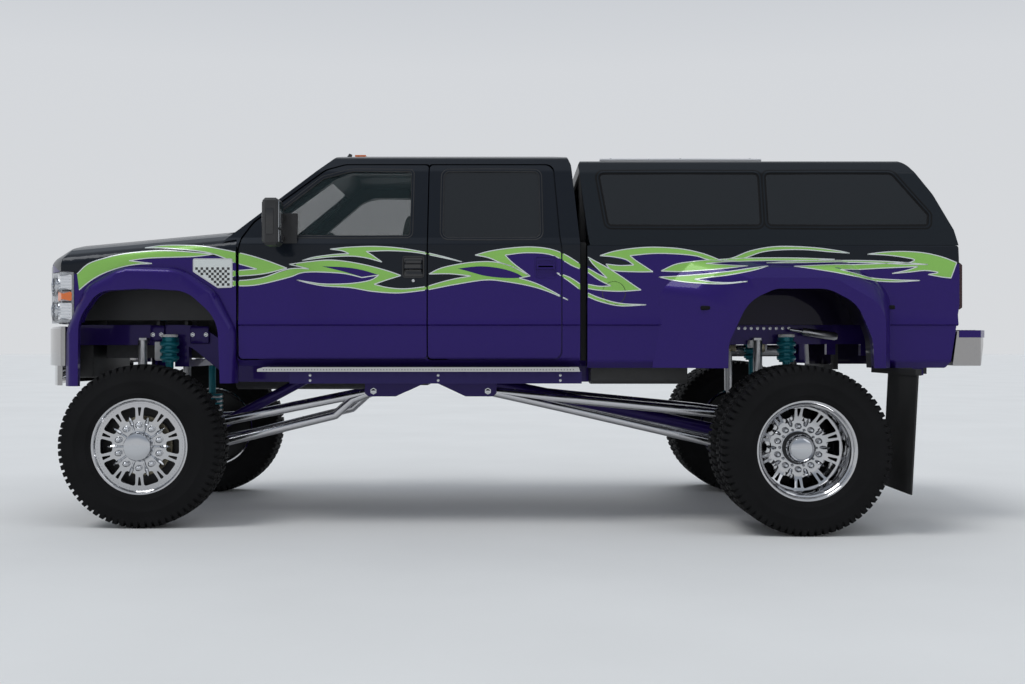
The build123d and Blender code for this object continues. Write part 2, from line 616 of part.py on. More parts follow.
def make_tail(parts):
    """Tailgate, tail lamps, rear bumper and mud flaps."""
    x1 = BED_X[1]
    gate_face = outline([(x1 - 44, BED_FLOOR_Z - 14), (x1 - 44, BED_RAIL_Z - 2), (x1 + 10, BED_RAIL_Z - 2),
                         (x1 + 10, BED_RAIL_Z - 60), (x1 + 4, BED_FLOOR_Z + 120), (x1 + 4, BED_FLOOR_Z - 14)],
                        [6, 6, 12, 0, 0, 6])
    gate = across(gate_face, -BED_POST_INNER + 7, BED_POST_INNER - 7)
    gate -= block((x1 - 8, x1 + 40), (-110, 110), (1740, 1810))
    gate -= block((x1 - 6, x1 + 40), (-620, 620), (1480, 1680))
    handle = block((x1 - 10, x1 + 8), (-90, 90), (1762, 1790))
    pins = both(cyl((GATE_HINGE[0], BED_POST_INNER, GATE_HINGE[1]), (0, 1, 0), 6, 40))
    parts["tailgate"] = gate + handle + pins

    lamp_box = block((x1 - 40, x1 + 80), (BED_POST_INNER + 12, 1100), (1463, 1790))
    lamp = across(outline([(x1 + 16 + SEAT, 1463), (x1 + 40, 1480), (x1 + 40, 1770), (x1 + 16 + SEAT, 1790)],
                          [4, 12, 12, 4]), BED_POST_INNER + 30, BODY_HALF - 14) & lamp_box
    parts["tail_lamps"] = both(lamp)

    bx0, bx1 = REAR_BUMPER_X
    z0, z1 = REAR_BUMPER_Z
    side_view = outline([(bx0 - 40, z0), (bx1 - 60, z0), (bx1, z1 - 60), (bx1 - 4, z1), (bx0 - 8, z1)],
                        [6, 12, 6, 10, 6])
    plan = outline([(bx0 - 200, -1000), (bx1 - 70, -1000), (bx1, -880), (bx1, 880), (bx1 - 70, 1000),
                    (bx0 - 200, 1000)], [0, 60, 120, 120, 60, 0])
    bumper = across(side_view, -1000, 1000) & upward(plan, z0 - 5, z1 + 5)
    hollow = block((bx0 - 100, bx1 - 110), (-900, 900), (z0 - 10, z1 - 30))
    plate = block((bx1 - 64, bx1 + 10), (-170, 170), (z0 + 25, z1 - 45))
    step = block((bx1 - 200, bx1 + 10), (-330, 330), (z1 - 26, z1 + 5))
    brackets = both(block((RAIL_END_X + SEAT, bx1 - 100), (RAIL_Y[0] + 6, RAIL_Y[1] - 6), (1250, z1 - 20)))
    parts["rear_bumper"] = bumper - hollow - plate - step + brackets

    flap = across(outline([(2618, 268), (2628, 268), (2670, 1030), (2658, 1030)]), 892, 1500)
    bar = block((2652, 2690), (RAIL_Y[1] + SEAT, 1490), (1030, 1070))
    bar += block((2652, 2690), (RAIL_Y[1] + SEAT, 600), (1030, 1290))
    parts["mud_flaps"] = both(flap + bar)


def make_chassis(parts):
    """Ladder frame's rails with their link brackets, crossmembers and hitch receiver."""
    low0, low1 = RAIL_LOW_Z
    high0, high1 = RAIL_HIGH_Z
    rail_points = [(-3120, high0), (-3120, high1), (-2170, high1), (-1850, low1), (620, low1),
                   (900, high1), (RAIL_END_X, high1), (RAIL_END_X, high0 + 10), (1050, high0), (780, low0),
                   (-1930, low0), (-2250, high0)]
    rail = across(outline(rail_points, [10, 10, 200, 200, 200, 200, 10, 10, 200, 200, 200, 200]), *RAIL_Y)
    beams = (
        # x centre, width along x, half length, low z, high z
        (-3070, 90, RAIL_Y[0] - SEAT, 1240, 1360), (-2300, 100, RAIL_Y[0] - SEAT, 1070, 1120),
        (-840, 160, MOUNT_Y[0] - SEAT, 870, 925), (-180, 160, MOUNT_Y[0] - SEAT, 860, 888),
        (1150, 90, RAIL_Y[0] - SEAT, 1240, 1350), (2200, 90, RAIL_Y[0] - SEAT, 1250, 1350),
        (3010, 100, RAIL_Y[0] - SEAT, 1240, 1350),
    )
    members = []
    for x, wide, half, z0, z1 in beams:
        members.append(block((x - wide / 2, x + wide / 2), (-half, half), (z0, z1)))
    parts["crossmembers"] = Compound(children=members)
    mount_points = [(-985, 955), (-990, 880), (-960, 856), (-765, 856), (-545, 958), (-480, 958),
                    (-262, 856), (-65, 856), (-38, 880), (-42, 955), (-100, 975), (-930, 975)]
    mount = across(outline(mount_points, [20, 30, 20, 30, 60, 60, 30, 20, 30, 20, 0, 0]), *MOUNT_Y)
    slot_y = (LINK_Y - LINK_RADIUS - SEAT, LINK_Y + LINK_RADIUS + SEAT)
    slot = across(outline([(-1010, 838), (-1010, 942), (-900, 942), (-830, 900), (-830, 838)]), *slot_y)
    slot_rear = across(outline([(-15, 838), (-15, 942), (-130, 942), (-190, 900), (-190, 838)]), *slot_y)
    rail += mount - slot - slot_rear
    rail += block((-2350, -2250), RAIL_Y, (1070, 1260))
    for x in (-1500, 250):
        rail += block((x - 50, x + 50), RAIL_Y, (low1 - 5, FLOOR_UNDER_Z - SEAT))
    rail += block((2580, 2650), (RAIL_Y[0] + 10, RAIL_Y[1] - 10), (1150, 1240))
    half, bore, z = RECEIVER / 2 + RECEIVER_WALL, RECEIVER / 2, RECEIVER_Z
    rail += block((2970, 3050), (RAIL_Y[0], RAIL_Y[0] + 12), (z - half, 1260))
    parts["frame"] = both(rail)

    x0, x1 = RECEIVER_X
    receiver = block((x0, x1), (-half, half), (z - half, z + half))
    receiver += block((2980, 3040), (-RAIL_Y[0] + SEAT, RAIL_Y[0] - SEAT), (z - 30, z + 30))
    receiver -= block((x0 - 10, x1 + 10), (-bore, bore), (z - bore, z + bore))
    parts["hitch_receiver"] = receiver - cyl((HITCH_PIN_X, 0, z), (0, 1, 0), HITCH_PIN_RADIUS, 200)


def axle_housing(x, half, drop_y):
    """Axle tube with the differential bulb."""
    axle = cyl((x, 0, AXLE_Z), (0, 1, 0), AXLE_TUBE_RADIUS, 2 * half)
    bulb = faceted([(0, -125), (95, -125), (150, -80), (165, -20), (165, 20), (150, 80), (95, 125),
                    (0, 125)], 24, (x, drop_y, AXLE_Z))
    snout = cyl((x, drop_y, AXLE_Z), (1, 0, 0), 75, 340)
    return axle + bulb + snout


def make_axles(parts):
    """Both live axles, the steering knuckles and the tie rod."""
    x = FRONT_AXLE_X
    front = axle_housing(x, KINGPIN_Y - 95, DIFF_FRONT_Y)
    fork = block((x - 60, x + 60), (KINGPIN_Y - 120, KINGPIN_Y - 85), (AXLE_Z - 168, AXLE_Z + 168))
    for z in (AXLE_Z - 150, AXLE_Z + 150):
        ear = block((x - 50, x + 50), (KINGPIN_Y - 120, KINGPIN_Y), (z - 18, z + 18))
        ear += cyl((x, KINGPIN_Y, z), (0, 0, 1), 50, 36)
        fork += ear - cyl((x, KINGPIN_Y, z), (0, 0, 1), 20 + RUN_CLEARANCE, 60)
    for z0, z1 in ((AXLE_Z + 50, AXLE_Z + 118), (AXLE_Z - 122, AXLE_Z - 50)):
        fork += block((x - 36, x + 36), (LINK_Y - 50, LINK_Y - EYE_HALF), (z0, z1))
        fork += block((x - 36, x + 36), (LINK_Y + EYE_HALF, LINK_Y + 50), (z0, z1))
    parts["front_axle"] = front + fork + left(fork)

    boss = cyl((x, KINGPIN_Y, AXLE_Z), (0, 0, 1), 46, 256)
    pin = cyl((x, KINGPIN_Y, AXLE_Z), (0, 0, 1), 20, 332)
    spindle = cyl((x, (KINGPIN_Y + 1100) / 2, AXLE_Z), (0, 1, 0), SPINDLE_RADIUS, 1100 - KINGPIN_Y)
    flange = cyl((x, 900, AXLE_Z), (0, 1, 0), 105, 26)
    arm_plan = outline([(x - STEER_ARM - 30, KINGPIN_Y - 26), (x, KINGPIN_Y - 40), (x, KINGPIN_Y + 40),
                        (x - STEER_ARM - 30, KINGPIN_Y + 26)], [24, 0, 0, 24])
    arm = upward(arm_plan, STEER_ARM_Z, STEER_ARM_Z + 30)
    knuckle = boss + pin + spindle + flange + arm
    eye = (x - STEER_ARM, KINGPIN_Y, STEER_ARM_Z + 15)
    parts["knuckle_right"] = knuckle - cyl(eye, (0, 0, 1), 15, 60)
    parts["knuckle_left"] = left(knuckle - cyl(eye, (0, 0, 1), 12 + RUN_CLEARANCE, 60))

    rod_z = STEER_ARM_Z - 24
    rod = tube((x - STEER_ARM, 12 - KINGPIN_Y, rod_z), (x - STEER_ARM, KINGPIN_Y - 12, rod_z), 19)
    for side in (-1, 1):
        end = (x - STEER_ARM, side * KINGPIN_Y)
        rod += cyl((*end, rod_z), (0, 0, 1), 28, 42)
        rod += tube((*end, rod_z + 10), (*end, STEER_ARM_Z + 36), 12)
    parts["tie_rod"] = rod

    x = REAR_AXLE_X
    rear = axle_housing(x, 1115, 0)
    rear += both(cyl((x, 1150, AXLE_Z), (0, 1, 0), SPINDLE_RADIUS, 130))
    brackets = block((x - 30, x + 30), (LINK_Y - 50, LINK_Y - EYE_HALF), (AXLE_Z - 150, AXLE_Z + 170))
    brackets += block((x - 30, x + 30), (LINK_Y + EYE_HALF, LINK_Y + 50), (AXLE_Z - 150, AXLE_Z + 170))
    parts["rear_axle"] = rear + brackets + left(brackets)


def make_links(parts):
    """Polished tube arms that locate both axles."""
    arms = {
        # pivot, upper run, lower run as (x, z) points towards the axle
        "front_arms": ((-925, 894), ((-2000, 677), (FRONT_AXLE_X, AXLE_Z + 98)),
                       ((-1085, 830), (-1206, 721), (-1971, 533), (FRONT_AXLE_X, AXLE_Z - 98))),
        "rear_arms": ((-102, 894), ((1544, 732), (REAR_AXLE_X, AXLE_Z + 128)),
                      ((418, 778), (1493, 530), (REAR_AXLE_X, AXLE_Z - 112))),
    }
    for name, (pivot, upper, lower) in arms.items():
        arm = cyl((pivot[0], LINK_Y, pivot[1]), (0, 1, 0), 40, 2 * LINK_RADIUS)
        for run in (upper, lower):
            here = pivot
            for there in run:
                arm += tube((here[0], LINK_Y, here[1]), (there[0], LINK_Y, there[1]), LINK_RADIUS)
                arm += Pos(there[0], LINK_Y, there[1]) * Sphere(LINK_RADIUS)
                here = there
            arm += cyl((here[0], LINK_Y, here[1]), (0, 1, 0), 34, 2 * (EYE_HALF - SEAT))
        parts[name] = both(arm)


def make_running_gear(parts):
    """Drive shafts, springs, shocks, engine, tank, exhaust and running boards."""
    front_x, rear_x = FRONT_AXLE_X + 170 + SEAT, REAR_AXLE_X - 170 - SEAT
    y = DIFF_FRONT_Y
    shaft = tube((front_x, y, AXLE_Z), (TRANSFER_X[0], y, 1040), 38)
    shaft &= block((front_x, TRANSFER_X[0] - SEAT), (y - 100, y + 100), (0, 2000))
    rear_shaft = tube((TRANSFER_X[1], 0, 1040), (rear_x, 0, AXLE_Z), 45)
    rear_shaft &= block((TRANSFER_X[1] + SEAT, rear_x), (-100, 100), (0, 2000))
    parts["drive_shafts"] = Compound(children=solids_of(shaft) + solids_of(rear_shaft))

    foot = AXLE_Z + AXLE_TUBE_RADIUS + SEAT
    shocks, springs = [], []
    for axle_x in (FRONT_AXLE_X, REAR_AXLE_X):
        x, y = axle_x + 58, SPRING_Y
        spring = tube((x, y, foot + 10), (x, y, 1110), 28) + tube((x, y, 640), (x, y, 830), 84)
        spring += tube((x, y, 1105), (x, y, 1300), 52)
        spring += block((axle_x - 20, x + 60), (y - 60, y + 60), (foot, foot + 24))
        spring += block((x - 40, x + 40), (RAIL_Y[1] + SEAT, y), (1240, 1280))
        springs += solids_of(both(spring))
        x, y = axle_x - 140, SPRING_Y - 25
        shock = tube((x, y, AXLE_Z), (x, y, 900), 16) + tube((x, y, 860), (x, y, 1260), 32)
        shock += block((x - 24, axle_x - AXLE_TUBE_RADIUS - SEAT), (y - 20, y + 20),
                       (AXLE_Z - 24, AXLE_Z + 24))
        shock += block((x - 26, x + 26), (RAIL_Y[1] + SEAT, y), (1236, 1276))
        shocks += solids_of(both(shock))
    parts["springs"] = Compound(children=springs)
    parts["shocks"] = Compound(children=shocks)

    engine = block((-2900, -2000), (-330, 330), (1130, 1760))
    gearbox = block((-2010, TRANSFER_X[0] + 60), (-150, 150), (1090, 1170))
    gearbox += tube((-2010, 0, 1010), (-1000, 0, 1010), 120)
    transfer = block(TRANSFER_X, (-150, 150), (925 + SEAT, 1150))
    transfer += block((TRANSFER_X[0], -1100), (DIFF_FRONT_Y - 60, -120), (960, 1120))
    parts["powertrain"] = engine + gearbox + transfer

    tank = block((620, 1290), (RAIL_Y[1] + 20, BED_INNER - 8), (955, 1220))
    tank = fillet(tank.edges().filter_by(Axis.X), 40)
    for x in (760, 1110):
        tank += block((x, x + 40), (RAIL_Y[1] + SEAT, RAIL_Y[1] + 30), (1000, 1120))
    parts["fuel_tank"] = left(tank)

    y = EXHAUST_Y
    route = ((-300, y, 1100), (1300, y, 1100), (1480, y, 1180), (2310, y, 1180), (2415, y + 215, 1060))
    pipe = tube((300, y, 1100), (900, y, 1100), 66)
    for here, there in zip(route, route[1:]):
        pipe += tube(here, there, PIPE_RADIUS) + Pos(*here) * Sphere(PIPE_RADIUS)
    for x, z in ((-200, 1100), (2100, 1180)):
        pipe += block((x - 20, x + 20), (RAIL_Y[1] + SEAT, y), (z - 15, z + 15))
    pipe += block((2080, 2120), (RAIL_Y[1] + SEAT, RAIL_Y[1] + 20), (1165, 1290))
    parts["exhaust"] = pipe

    board = across(outline([(-1640, 1046), (-1640, 1064), (-1600, 1076), (520, 1076), (530, 1046)]),
                   930, 1096)
    board -= across(outline([(-1600, 1060), (480, 1060), (480, 1074), (-1600, 1074)]), 925, 1084)
    housing = block((-1440, 545), (900, 1000), (964, 1046))
    stays = block((-1500, -1440), (RAIL_Y[1] + SEAT, 960), (1000, 1030))
    for x in (-1350, -450, 350):
        stays += block((x, x + 60), (RAIL_Y[1] + SEAT, 960), (1000, 1030))
    parts["running_boards"] = both(board + housing + stays - block((-1520, -1441), (0, 1000), (900, 1045)))


def make_interior(parts):
    """Seats, dashboard and steering wheel, seen through the glass."""
    seats = []
    rows = (
        # cushion front x, back x, inner y, outer y
        (-1150, -640, 190, 760), (-150, 330, -760, 760),
    )
    for x0, x1, y0, y1 in rows:
        shape = block((x0, x1), (y0, y1), (FLOOR_TOP_Z + SEAT, 1620))
        shape = fillet(shape.edges().filter_by(Axis.Y), 40)
        back = across(outline([(x1 - 150, 1600), (x1 + 0, 1600), (x1 + 70, 2130), (x1 - 20, 2150)],
                              [0, 0, 40, 40]), y0 + 20, y1 - 20)
        shape += back
        heads = [(y0 + y1) / 2] if y0 > 0 else [-480, 480]
        for y in heads:
            rest = across(outline([(x1 - 10, 2140), (x1 + 70, 2130), (x1 + 84, 2290), (x1 + 10, 2300)],
                                  30), y - 130, y + 130)
            shape += rest
        seats += solids_of(both(shape)) if y0 > 0 else solids_of(shape)
    parts["seats"] = Compound(children=seats)

    dash = across(outline([(-1722, 1560), (-1722, 1935), (-1600, 1960), (-1430, 1930), (-1390, 1840),
                           (-1440, 1560)], [0, 40, 60, 50, 60, 40]), -848, 848)
    x, y, z = STEERING_WHEEL
    dx, dy, dz = COLUMN_LEAN
    reach = 13 + SEAT
    column = tube((x - 300 * dx, y, z - 300 * dz), (x - reach * dx, y, z - reach * dz), 45)
    console = block((-1500, -700), (-130, 130), (FLOOR_TOP_Z + SEAT, 1560 - SEAT))
    parts["dashboard"] = Compound(children=solids_of(dash + column) + solids_of(console))

    hub = Plane(origin=STEERING_WHEEL, z_dir=COLUMN_LEAN)
    grip = [(r * cos(a), r * sin(a)) for r, a in ((14, pi / 3 * step) for step in range(6))]
    rim = revolve(make_face(Polyline(*[(190 + u, 0, v) for u, v in grip], close=True)), axis=Axis.Z)
    wheel = hub * rim + hub * Cylinder(52, 26)
    for turn in (0, 120, 240):
        wheel += hub * Rot(0, 0, turn + 90) * Pos(105, 0, 0) * Box(170, 34, 12)
    parts["steering_wheel"] = wheel

    head = block((-1560, -1455), (1150, 1330), (1880, 2190))
    head = chamfer(head.edges(), 18)
    arm = block((-1520, -1470), (985, 1160), (2080, 2110)) + block((-1520, -1470), (985, 1160), (1930, 1960))
    door_side = cab_form(side=-SEAT)
    sail = block((-1530, -1390), (960, 1000), (1915, 2120))
    mirror_right = head + (arm + sail - door_side)
    parts["mirror_right"] = mirror_right
    parts["mirror_left"] = left(mirror_right)


def make_tyre(x, y):
    """Tyre with straight sidewalls out to the tread's radius."""
    r, w, bead = TYRE_RADIUS / cos(pi / WHEEL_SIDES), TYRE_WIDTH / 2, RIM_RADIUS + SEAT
    points = [(bead, -108), (430, -w), (r, -w + 30), (r, w - 30), (430, w), (bead, 108)]
    return faceted(points, WHEEL_SIDES, (x, y, AXLE_Z))


def rim_barrel():
    """Rim without its disc, at the origin."""
    w, inner = RIM_HALF, RIM_RADIUS - 14
    points = [(RIM_RADIUS, -w), (FLANGE_RADIUS, -w - 4), (FLANGE_RADIUS, -w - 10), (inner, -w - 8),
              (inner, w + 8), (FLANGE_RADIUS, w + 10), (FLANGE_RADIUS, w + 4), (RIM_RADIUS, w)]
    return faceted(points, WHEEL_SIDES, (0, 0, 0))


def disc_windows(inner_r, outer_r, y0, y1):
    """Ring of tapered hand holes as one cutter."""
    cuts = []
    half = pi / LUG_COUNT
    for index in range(LUG_COUNT):
        turn = Rot(0, 360 / LUG_COUNT * index, 0)
        narrow, wide = inner_r * sin(half) * 0.45, outer_r * sin(half) * 0.62
        face = Polyline((inner_r, -narrow), (outer_r, -wide), (outer_r, wide), (inner_r, narrow), close=True)
        cuts += solids_of(turn * across(make_face(face), y0, y1))
    return Compound(children=cuts)


def lug_ring(y0, y1, radius):
    """Ring of lug nuts at the origin."""
    nuts = []
    for index in range(LUG_COUNT):
        angle = 2 * pi * (index + 0.5) / LUG_COUNT
        x, z = LUG_CIRCLE / 2 * cos(angle), LUG_CIRCLE / 2 * sin(angle)
        plane = Plane(origin=(x, y0, z), z_dir=(0, 1, 0))
        nuts += solids_of(extrude(plane * RegularPolygon(radius, 6), amount=y1 - y0))
    return Compound(children=nuts)


def make_wheels(parts):
    """Front wheels and the twin rear wheels."""
    barrel = rim_barrel()
    hole = SPINDLE_RADIUS + RUN_CLEARANCE
    reach = RIM_RADIUS - 13
    at = (0, 0, 0)
    disc = faceted([(88, 84), (250, 84), (reach, 40), (reach, 54), (256, 98), (205, 112), (178, 120),
                    (88, 120)], WHEEL_SIDES, at)
    disc -= disc_windows(196, 268, 20, 130)
    hub = faceted([(0, -90), (90, -90), (90, 84), (95, 84), (95, 170), (80, 186), (0, 186)], 40, at)
    hub -= cyl((0, 1, 0), (0, 1, 0), hole, 182)
    front = barrel + disc + hub + lug_ring(118, 160, 19)
    x = FRONT_AXLE_X
    y = FRONT_TRACK_HALF
    parts["rim_front_right"] = Pos(x, y, AXLE_Z) * front
    parts["tyre_front_right"] = make_tyre(x, y)
    parts["rim_front_left"] = left(parts["rim_front_right"])
    parts["tyre_front_left"] = left(parts["tyre_front_right"])

    x = REAR_AXLE_X
    shift = DUAL_SPACING / 2
    deep = faceted([(88, -shift), (205, -shift), (reach, -118), (reach, -104), (200, -140), (88, -140)],
                   WHEEL_SIDES, at)
    deep -= disc_windows(190, 272, -shift - 2, -90)
    cap = faceted([(0, -shift), (94, -shift), (94, -28), (60, -4), (0, 5)], 40, at)
    cap -= cyl((0, -shift, 0), (0, 1, 0), hole, 2 * (shift - 130))
    outer = barrel + deep + cap + lug_ring(-141, -96, 19)
    inner_disc = faceted([(120, 144), (200, 144), (reach, 104), (reach, 118), (205, shift), (120, shift)],
                         WHEEL_SIDES, at)
    inner = barrel + inner_disc
    centre = DUAL_CENTRE_Y
    rims = Pos(x, centre + shift, AXLE_Z) * outer + Pos(x, centre - shift, AXLE_Z) * inner
    parts["rims_rear_right"] = rims
    tyres = [make_tyre(x, centre + shift), make_tyre(x, centre - shift)]
    parts["tyres_rear_right"] = Compound(children=[s for t in tyres for s in solids_of(t)])
    parts["rims_rear_left"] = left(parts["rims_rear_right"])
    parts["tyres_rear_left"] = left(parts["tyres_rear_right"])


def make_lamps(parts):
    """Small marker lamps on the roof."""
    lamps = []
    for y in (-300, -150, 0, 150, 300):
        z = ROOF_CROWN_Z - 12
        lamps += solids_of(block((-1080, -1000), (y - 35, y + 35), (z, z + 40)) - cab_form())
    parts["roof_lamps"] = Compound(children=lamps)


def main():
    parts = {}
    for make in (make_cab, make_front, make_bed, make_topper, make_tail, make_chassis, make_axles,
                 make_links, make_running_gear, make_interior, make_wheels, make_lamps):
        make(parts)
    os.makedirs("parts", exist_ok=True)
    for name, shape in parts.items():
        export_step(shape, f"parts/{name}.step")


main()
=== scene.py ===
from math import cos, hypot, pi, radians, sin

import bmesh
import bpy
import numpy as np
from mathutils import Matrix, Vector
from mathutils.bvhtree import BVHTree
from mathutils.geometry import delaunay_2d_cdt


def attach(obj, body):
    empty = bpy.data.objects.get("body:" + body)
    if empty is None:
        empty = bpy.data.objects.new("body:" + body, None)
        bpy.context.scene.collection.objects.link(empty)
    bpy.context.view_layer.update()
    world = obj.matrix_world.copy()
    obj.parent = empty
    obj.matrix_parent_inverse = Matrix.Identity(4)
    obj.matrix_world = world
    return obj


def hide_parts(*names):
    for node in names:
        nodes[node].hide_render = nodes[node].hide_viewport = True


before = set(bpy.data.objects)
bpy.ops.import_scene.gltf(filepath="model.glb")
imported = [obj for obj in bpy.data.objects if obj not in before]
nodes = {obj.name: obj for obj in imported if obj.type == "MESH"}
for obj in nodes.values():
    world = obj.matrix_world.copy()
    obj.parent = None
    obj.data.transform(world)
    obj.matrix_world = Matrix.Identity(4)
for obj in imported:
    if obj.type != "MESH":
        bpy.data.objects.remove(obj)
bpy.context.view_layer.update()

# Camera, solved from the photograph (metres), and the photograph's size
CAMERA = Vector((0.075, -9.328, 1.226))
FOCAL_PX = 1226.0
PHOTO = (1025, 684)
HORIZON_ROW = 345.0

# Main sizes, in metres
FRONT_X, REAR_X, AXLE_Z = -2.418, 1.961, 0.548
FRONT_Y, REAR_Y, DUAL_SHIFT = 1.020, 1.200, 0.1685
TYRE_HALF = 0.146
LUG_RADIUS = 0.1429
SPOKES = 10
SIDE_Y = 1.014
SIDES = (("left", -1), ("right", 1))
SHADER = "Principled BSDF"

# Materials


def new_material(name, colour, metallic=0.0, roughness=0.5, **extra):
    """A material with its constant values on the shader's own sockets."""
    mat = bpy.data.materials.new(name)
    mat.use_nodes = True
    inputs = mat.node_tree.nodes[SHADER].inputs
    inputs["Base Color"].default_value = (*colour, 1)
    inputs["Metallic"].default_value = metallic
    inputs["Roughness"].default_value = roughness
    for key, value in extra.items():
        inputs[key.replace("_", " ").title().replace("Ior", "IOR")].default_value = value
    return mat


def add(mat, kind, **values):
    node = mat.node_tree.nodes.new(kind)
    for key, value in values.items():
        setattr(node, key, value)
    return node


def link(mat, a, out, b, into):
    mat.node_tree.links.new(a.outputs[out], b.inputs[into])


def set_inputs(node, **values):
    for key, value in values.items():
        node.inputs[key.replace("_", " ")].default_value = value


def object_noise(mat, scale, detail):
    """Noise in the object's own metres."""
    coords = add(mat, "ShaderNodeTexCoord")
    noise = add(mat, "ShaderNodeTexNoise")
    set_inputs(noise, Scale=scale, Detail=detail)
    link(mat, coords, "Object", noise, "Vector")
    return noise


def set_stops(ramp, stops):
    elements = ramp.color_ramp.elements
    while len(elements) < len(stops):
        elements.new(0.5)
    for element, (place, colour) in zip(elements, stops):
        element.position = place
        element.color = (*colour, 1)


def ramp_to(mat, source, out, stops, into):
    """A colour ramp from a factor to one of the shader's sockets."""
    ramp = add(mat, "ShaderNodeValToRGB")
    set_stops(ramp, stops)
    link(mat, source, out, ramp, "Fac")
    link(mat, ramp, "Color", mat.node_tree.nodes[SHADER], into)
    return ramp


def uneven(mat, scale, detail, low, high, stops=(0.3, 0.8)):
    """Roughness that wanders between two values."""
    greys = [(stop, (value,) * 3) for stop, value in zip(stops, (low, high))]
    ramp_to(mat, object_noise(mat, scale, detail), "Fac", greys, "Roughness")


def bump_from(mat, scale, detail, strength, distance):
    bump = add(mat, "ShaderNodeBump")
    set_inputs(bump, Strength=strength, Distance=distance)
    link(mat, object_noise(mat, scale, detail), "Fac", bump, "Height")
    link(mat, bump, "Normal", mat.node_tree.nodes[SHADER], "Normal")


def paint(name, colour, flake, metallic=0.4, roughness=0.36):
    """Metallic paint under a clear coat, with fine flake and a faint orange peel."""
    mat = new_material(name, colour, metallic, roughness, coat_weight=0.3, coat_roughness=0.03,
                       specular_ior_level=0.1)
    ramp_to(mat, object_noise(mat, 900.0, 2.0), "Fac", [(0.35, colour), (0.65, flake)], "Base Color")
    bump_from(mat, 60.0, 1.0, 0.02, 0.001)
    return mat


def worn_metal(name, colour, low, high, scale=9.0, metallic=1.0, wavy=0.0):
    """Metal whose roughness varies over the surface; wavy adds a faint swell."""
    mat = new_material(name, colour, metallic, (low + high) / 2)
    uneven(mat, scale, 5.0, low, high, (0.3, 0.75))
    if wavy:
        bump_from(mat, wavy, 2.0, 0.35, 0.006)
    return mat


def grained(name, colour, roughness, scale, strength, **extra):
    """Plastic, rubber or leather with a fine grain and a little uneven tone."""
    mat = new_material(name, colour, 0.0, roughness, **extra)
    bump_from(mat, scale, 4.0, strength, 0.0006)
    stops = [(0.3, [c * 0.75 for c in colour]), (0.7, [c * 1.3 for c in colour])]
    ramp_to(mat, object_noise(mat, scale / 40, 4.0), "Fac", stops, "Base Color")
    return mat


def glass(name, colour, alpha, roughness=0.03):
    mat = new_material(name, colour, 0.0, roughness, ior=1.5, alpha=alpha)
    uneven(mat, 3.0, 2.0, roughness, roughness + 0.04)
    return mat


PURPLE, PURPLE_FLAKE = (0.0145, 0.0055, 0.092), (0.030, 0.011, 0.165)
CHARCOAL = (0.0075, 0.0105, 0.0160)
UNDERSIDE = (0.006, 0.004, 0.016)

# Lower edge of the dark upper colour along the side, in the photograph's pixels
TONE_LINE = [
    (40, 262), (62, 273), (76, 273), (79, 277), (90, 270), (105, 262), (127, 257), (150, 255), (190, 254.5),
    (236, 258), (240, 284), (265, 281), (285, 275), (298, 275), (303, 283), (330, 285),
    (352, 286.5), (375, 289.5), (395, 291), (425, 288.3), (455, 282.5), (484, 278), (500, 272), (503, 256),
    (520, 250), (548, 251), (562, 255.5), (575, 262.5), (588, 266), (600, 271), (608, 272), (611, 254),
    (625, 251), (655, 250), (680, 251), (700, 254.5), (715, 258.5), (735, 259.5), (760, 259.5),
    (800, 259.5), (835, 260), (860, 261.5), (915, 262), (935, 262), (957, 264), (990, 264),
]
LINE_REACH, LINE_FOOT = 3.4, 1.2  # half length the dividing line spans, and the height it counts from
INBOARD_Y, LOW_Z, GATE_X = 0.935, 1.70, 3.0745  # bounds of the dark underside, the last at the tailgate


def plan(x, y, depth=-SIDE_Y):
    """Photograph pixel to truck X and Z on a side plane."""
    s = (depth - CAMERA.y) / FOCAL_PX
    return (x - PHOTO[0] / 2) * s + CAMERA.x, (HORIZON_ROW - y) * s + CAMERA.z


def object_place(mat):
    """The object's own x, y and z at each point."""
    coords = add(mat, "ShaderNodeTexCoord")
    split = add(mat, "ShaderNodeSeparateXYZ")
    link(mat, coords, "Object", split, "Vector")
    return split


def span(mat, split, axis, low, high):
    """Where a point lies between two values along one axis, from 0 to 1."""
    node = add(mat, "ShaderNodeMapRange")
    set_inputs(node, From_Min=low, From_Max=high)
    link(mat, split, axis, node, "Value")
    return node


def maths(mat, operation, *inputs):
    """Math node; each input is a number, or a node and the name of its output."""
    node = add(mat, "ShaderNodeMath", operation=operation)
    for index, value in enumerate(inputs):
        if isinstance(value, tuple):
            link(mat, *value, node, index)
        else:
            node.inputs[index].default_value = value
    return node, "Value"


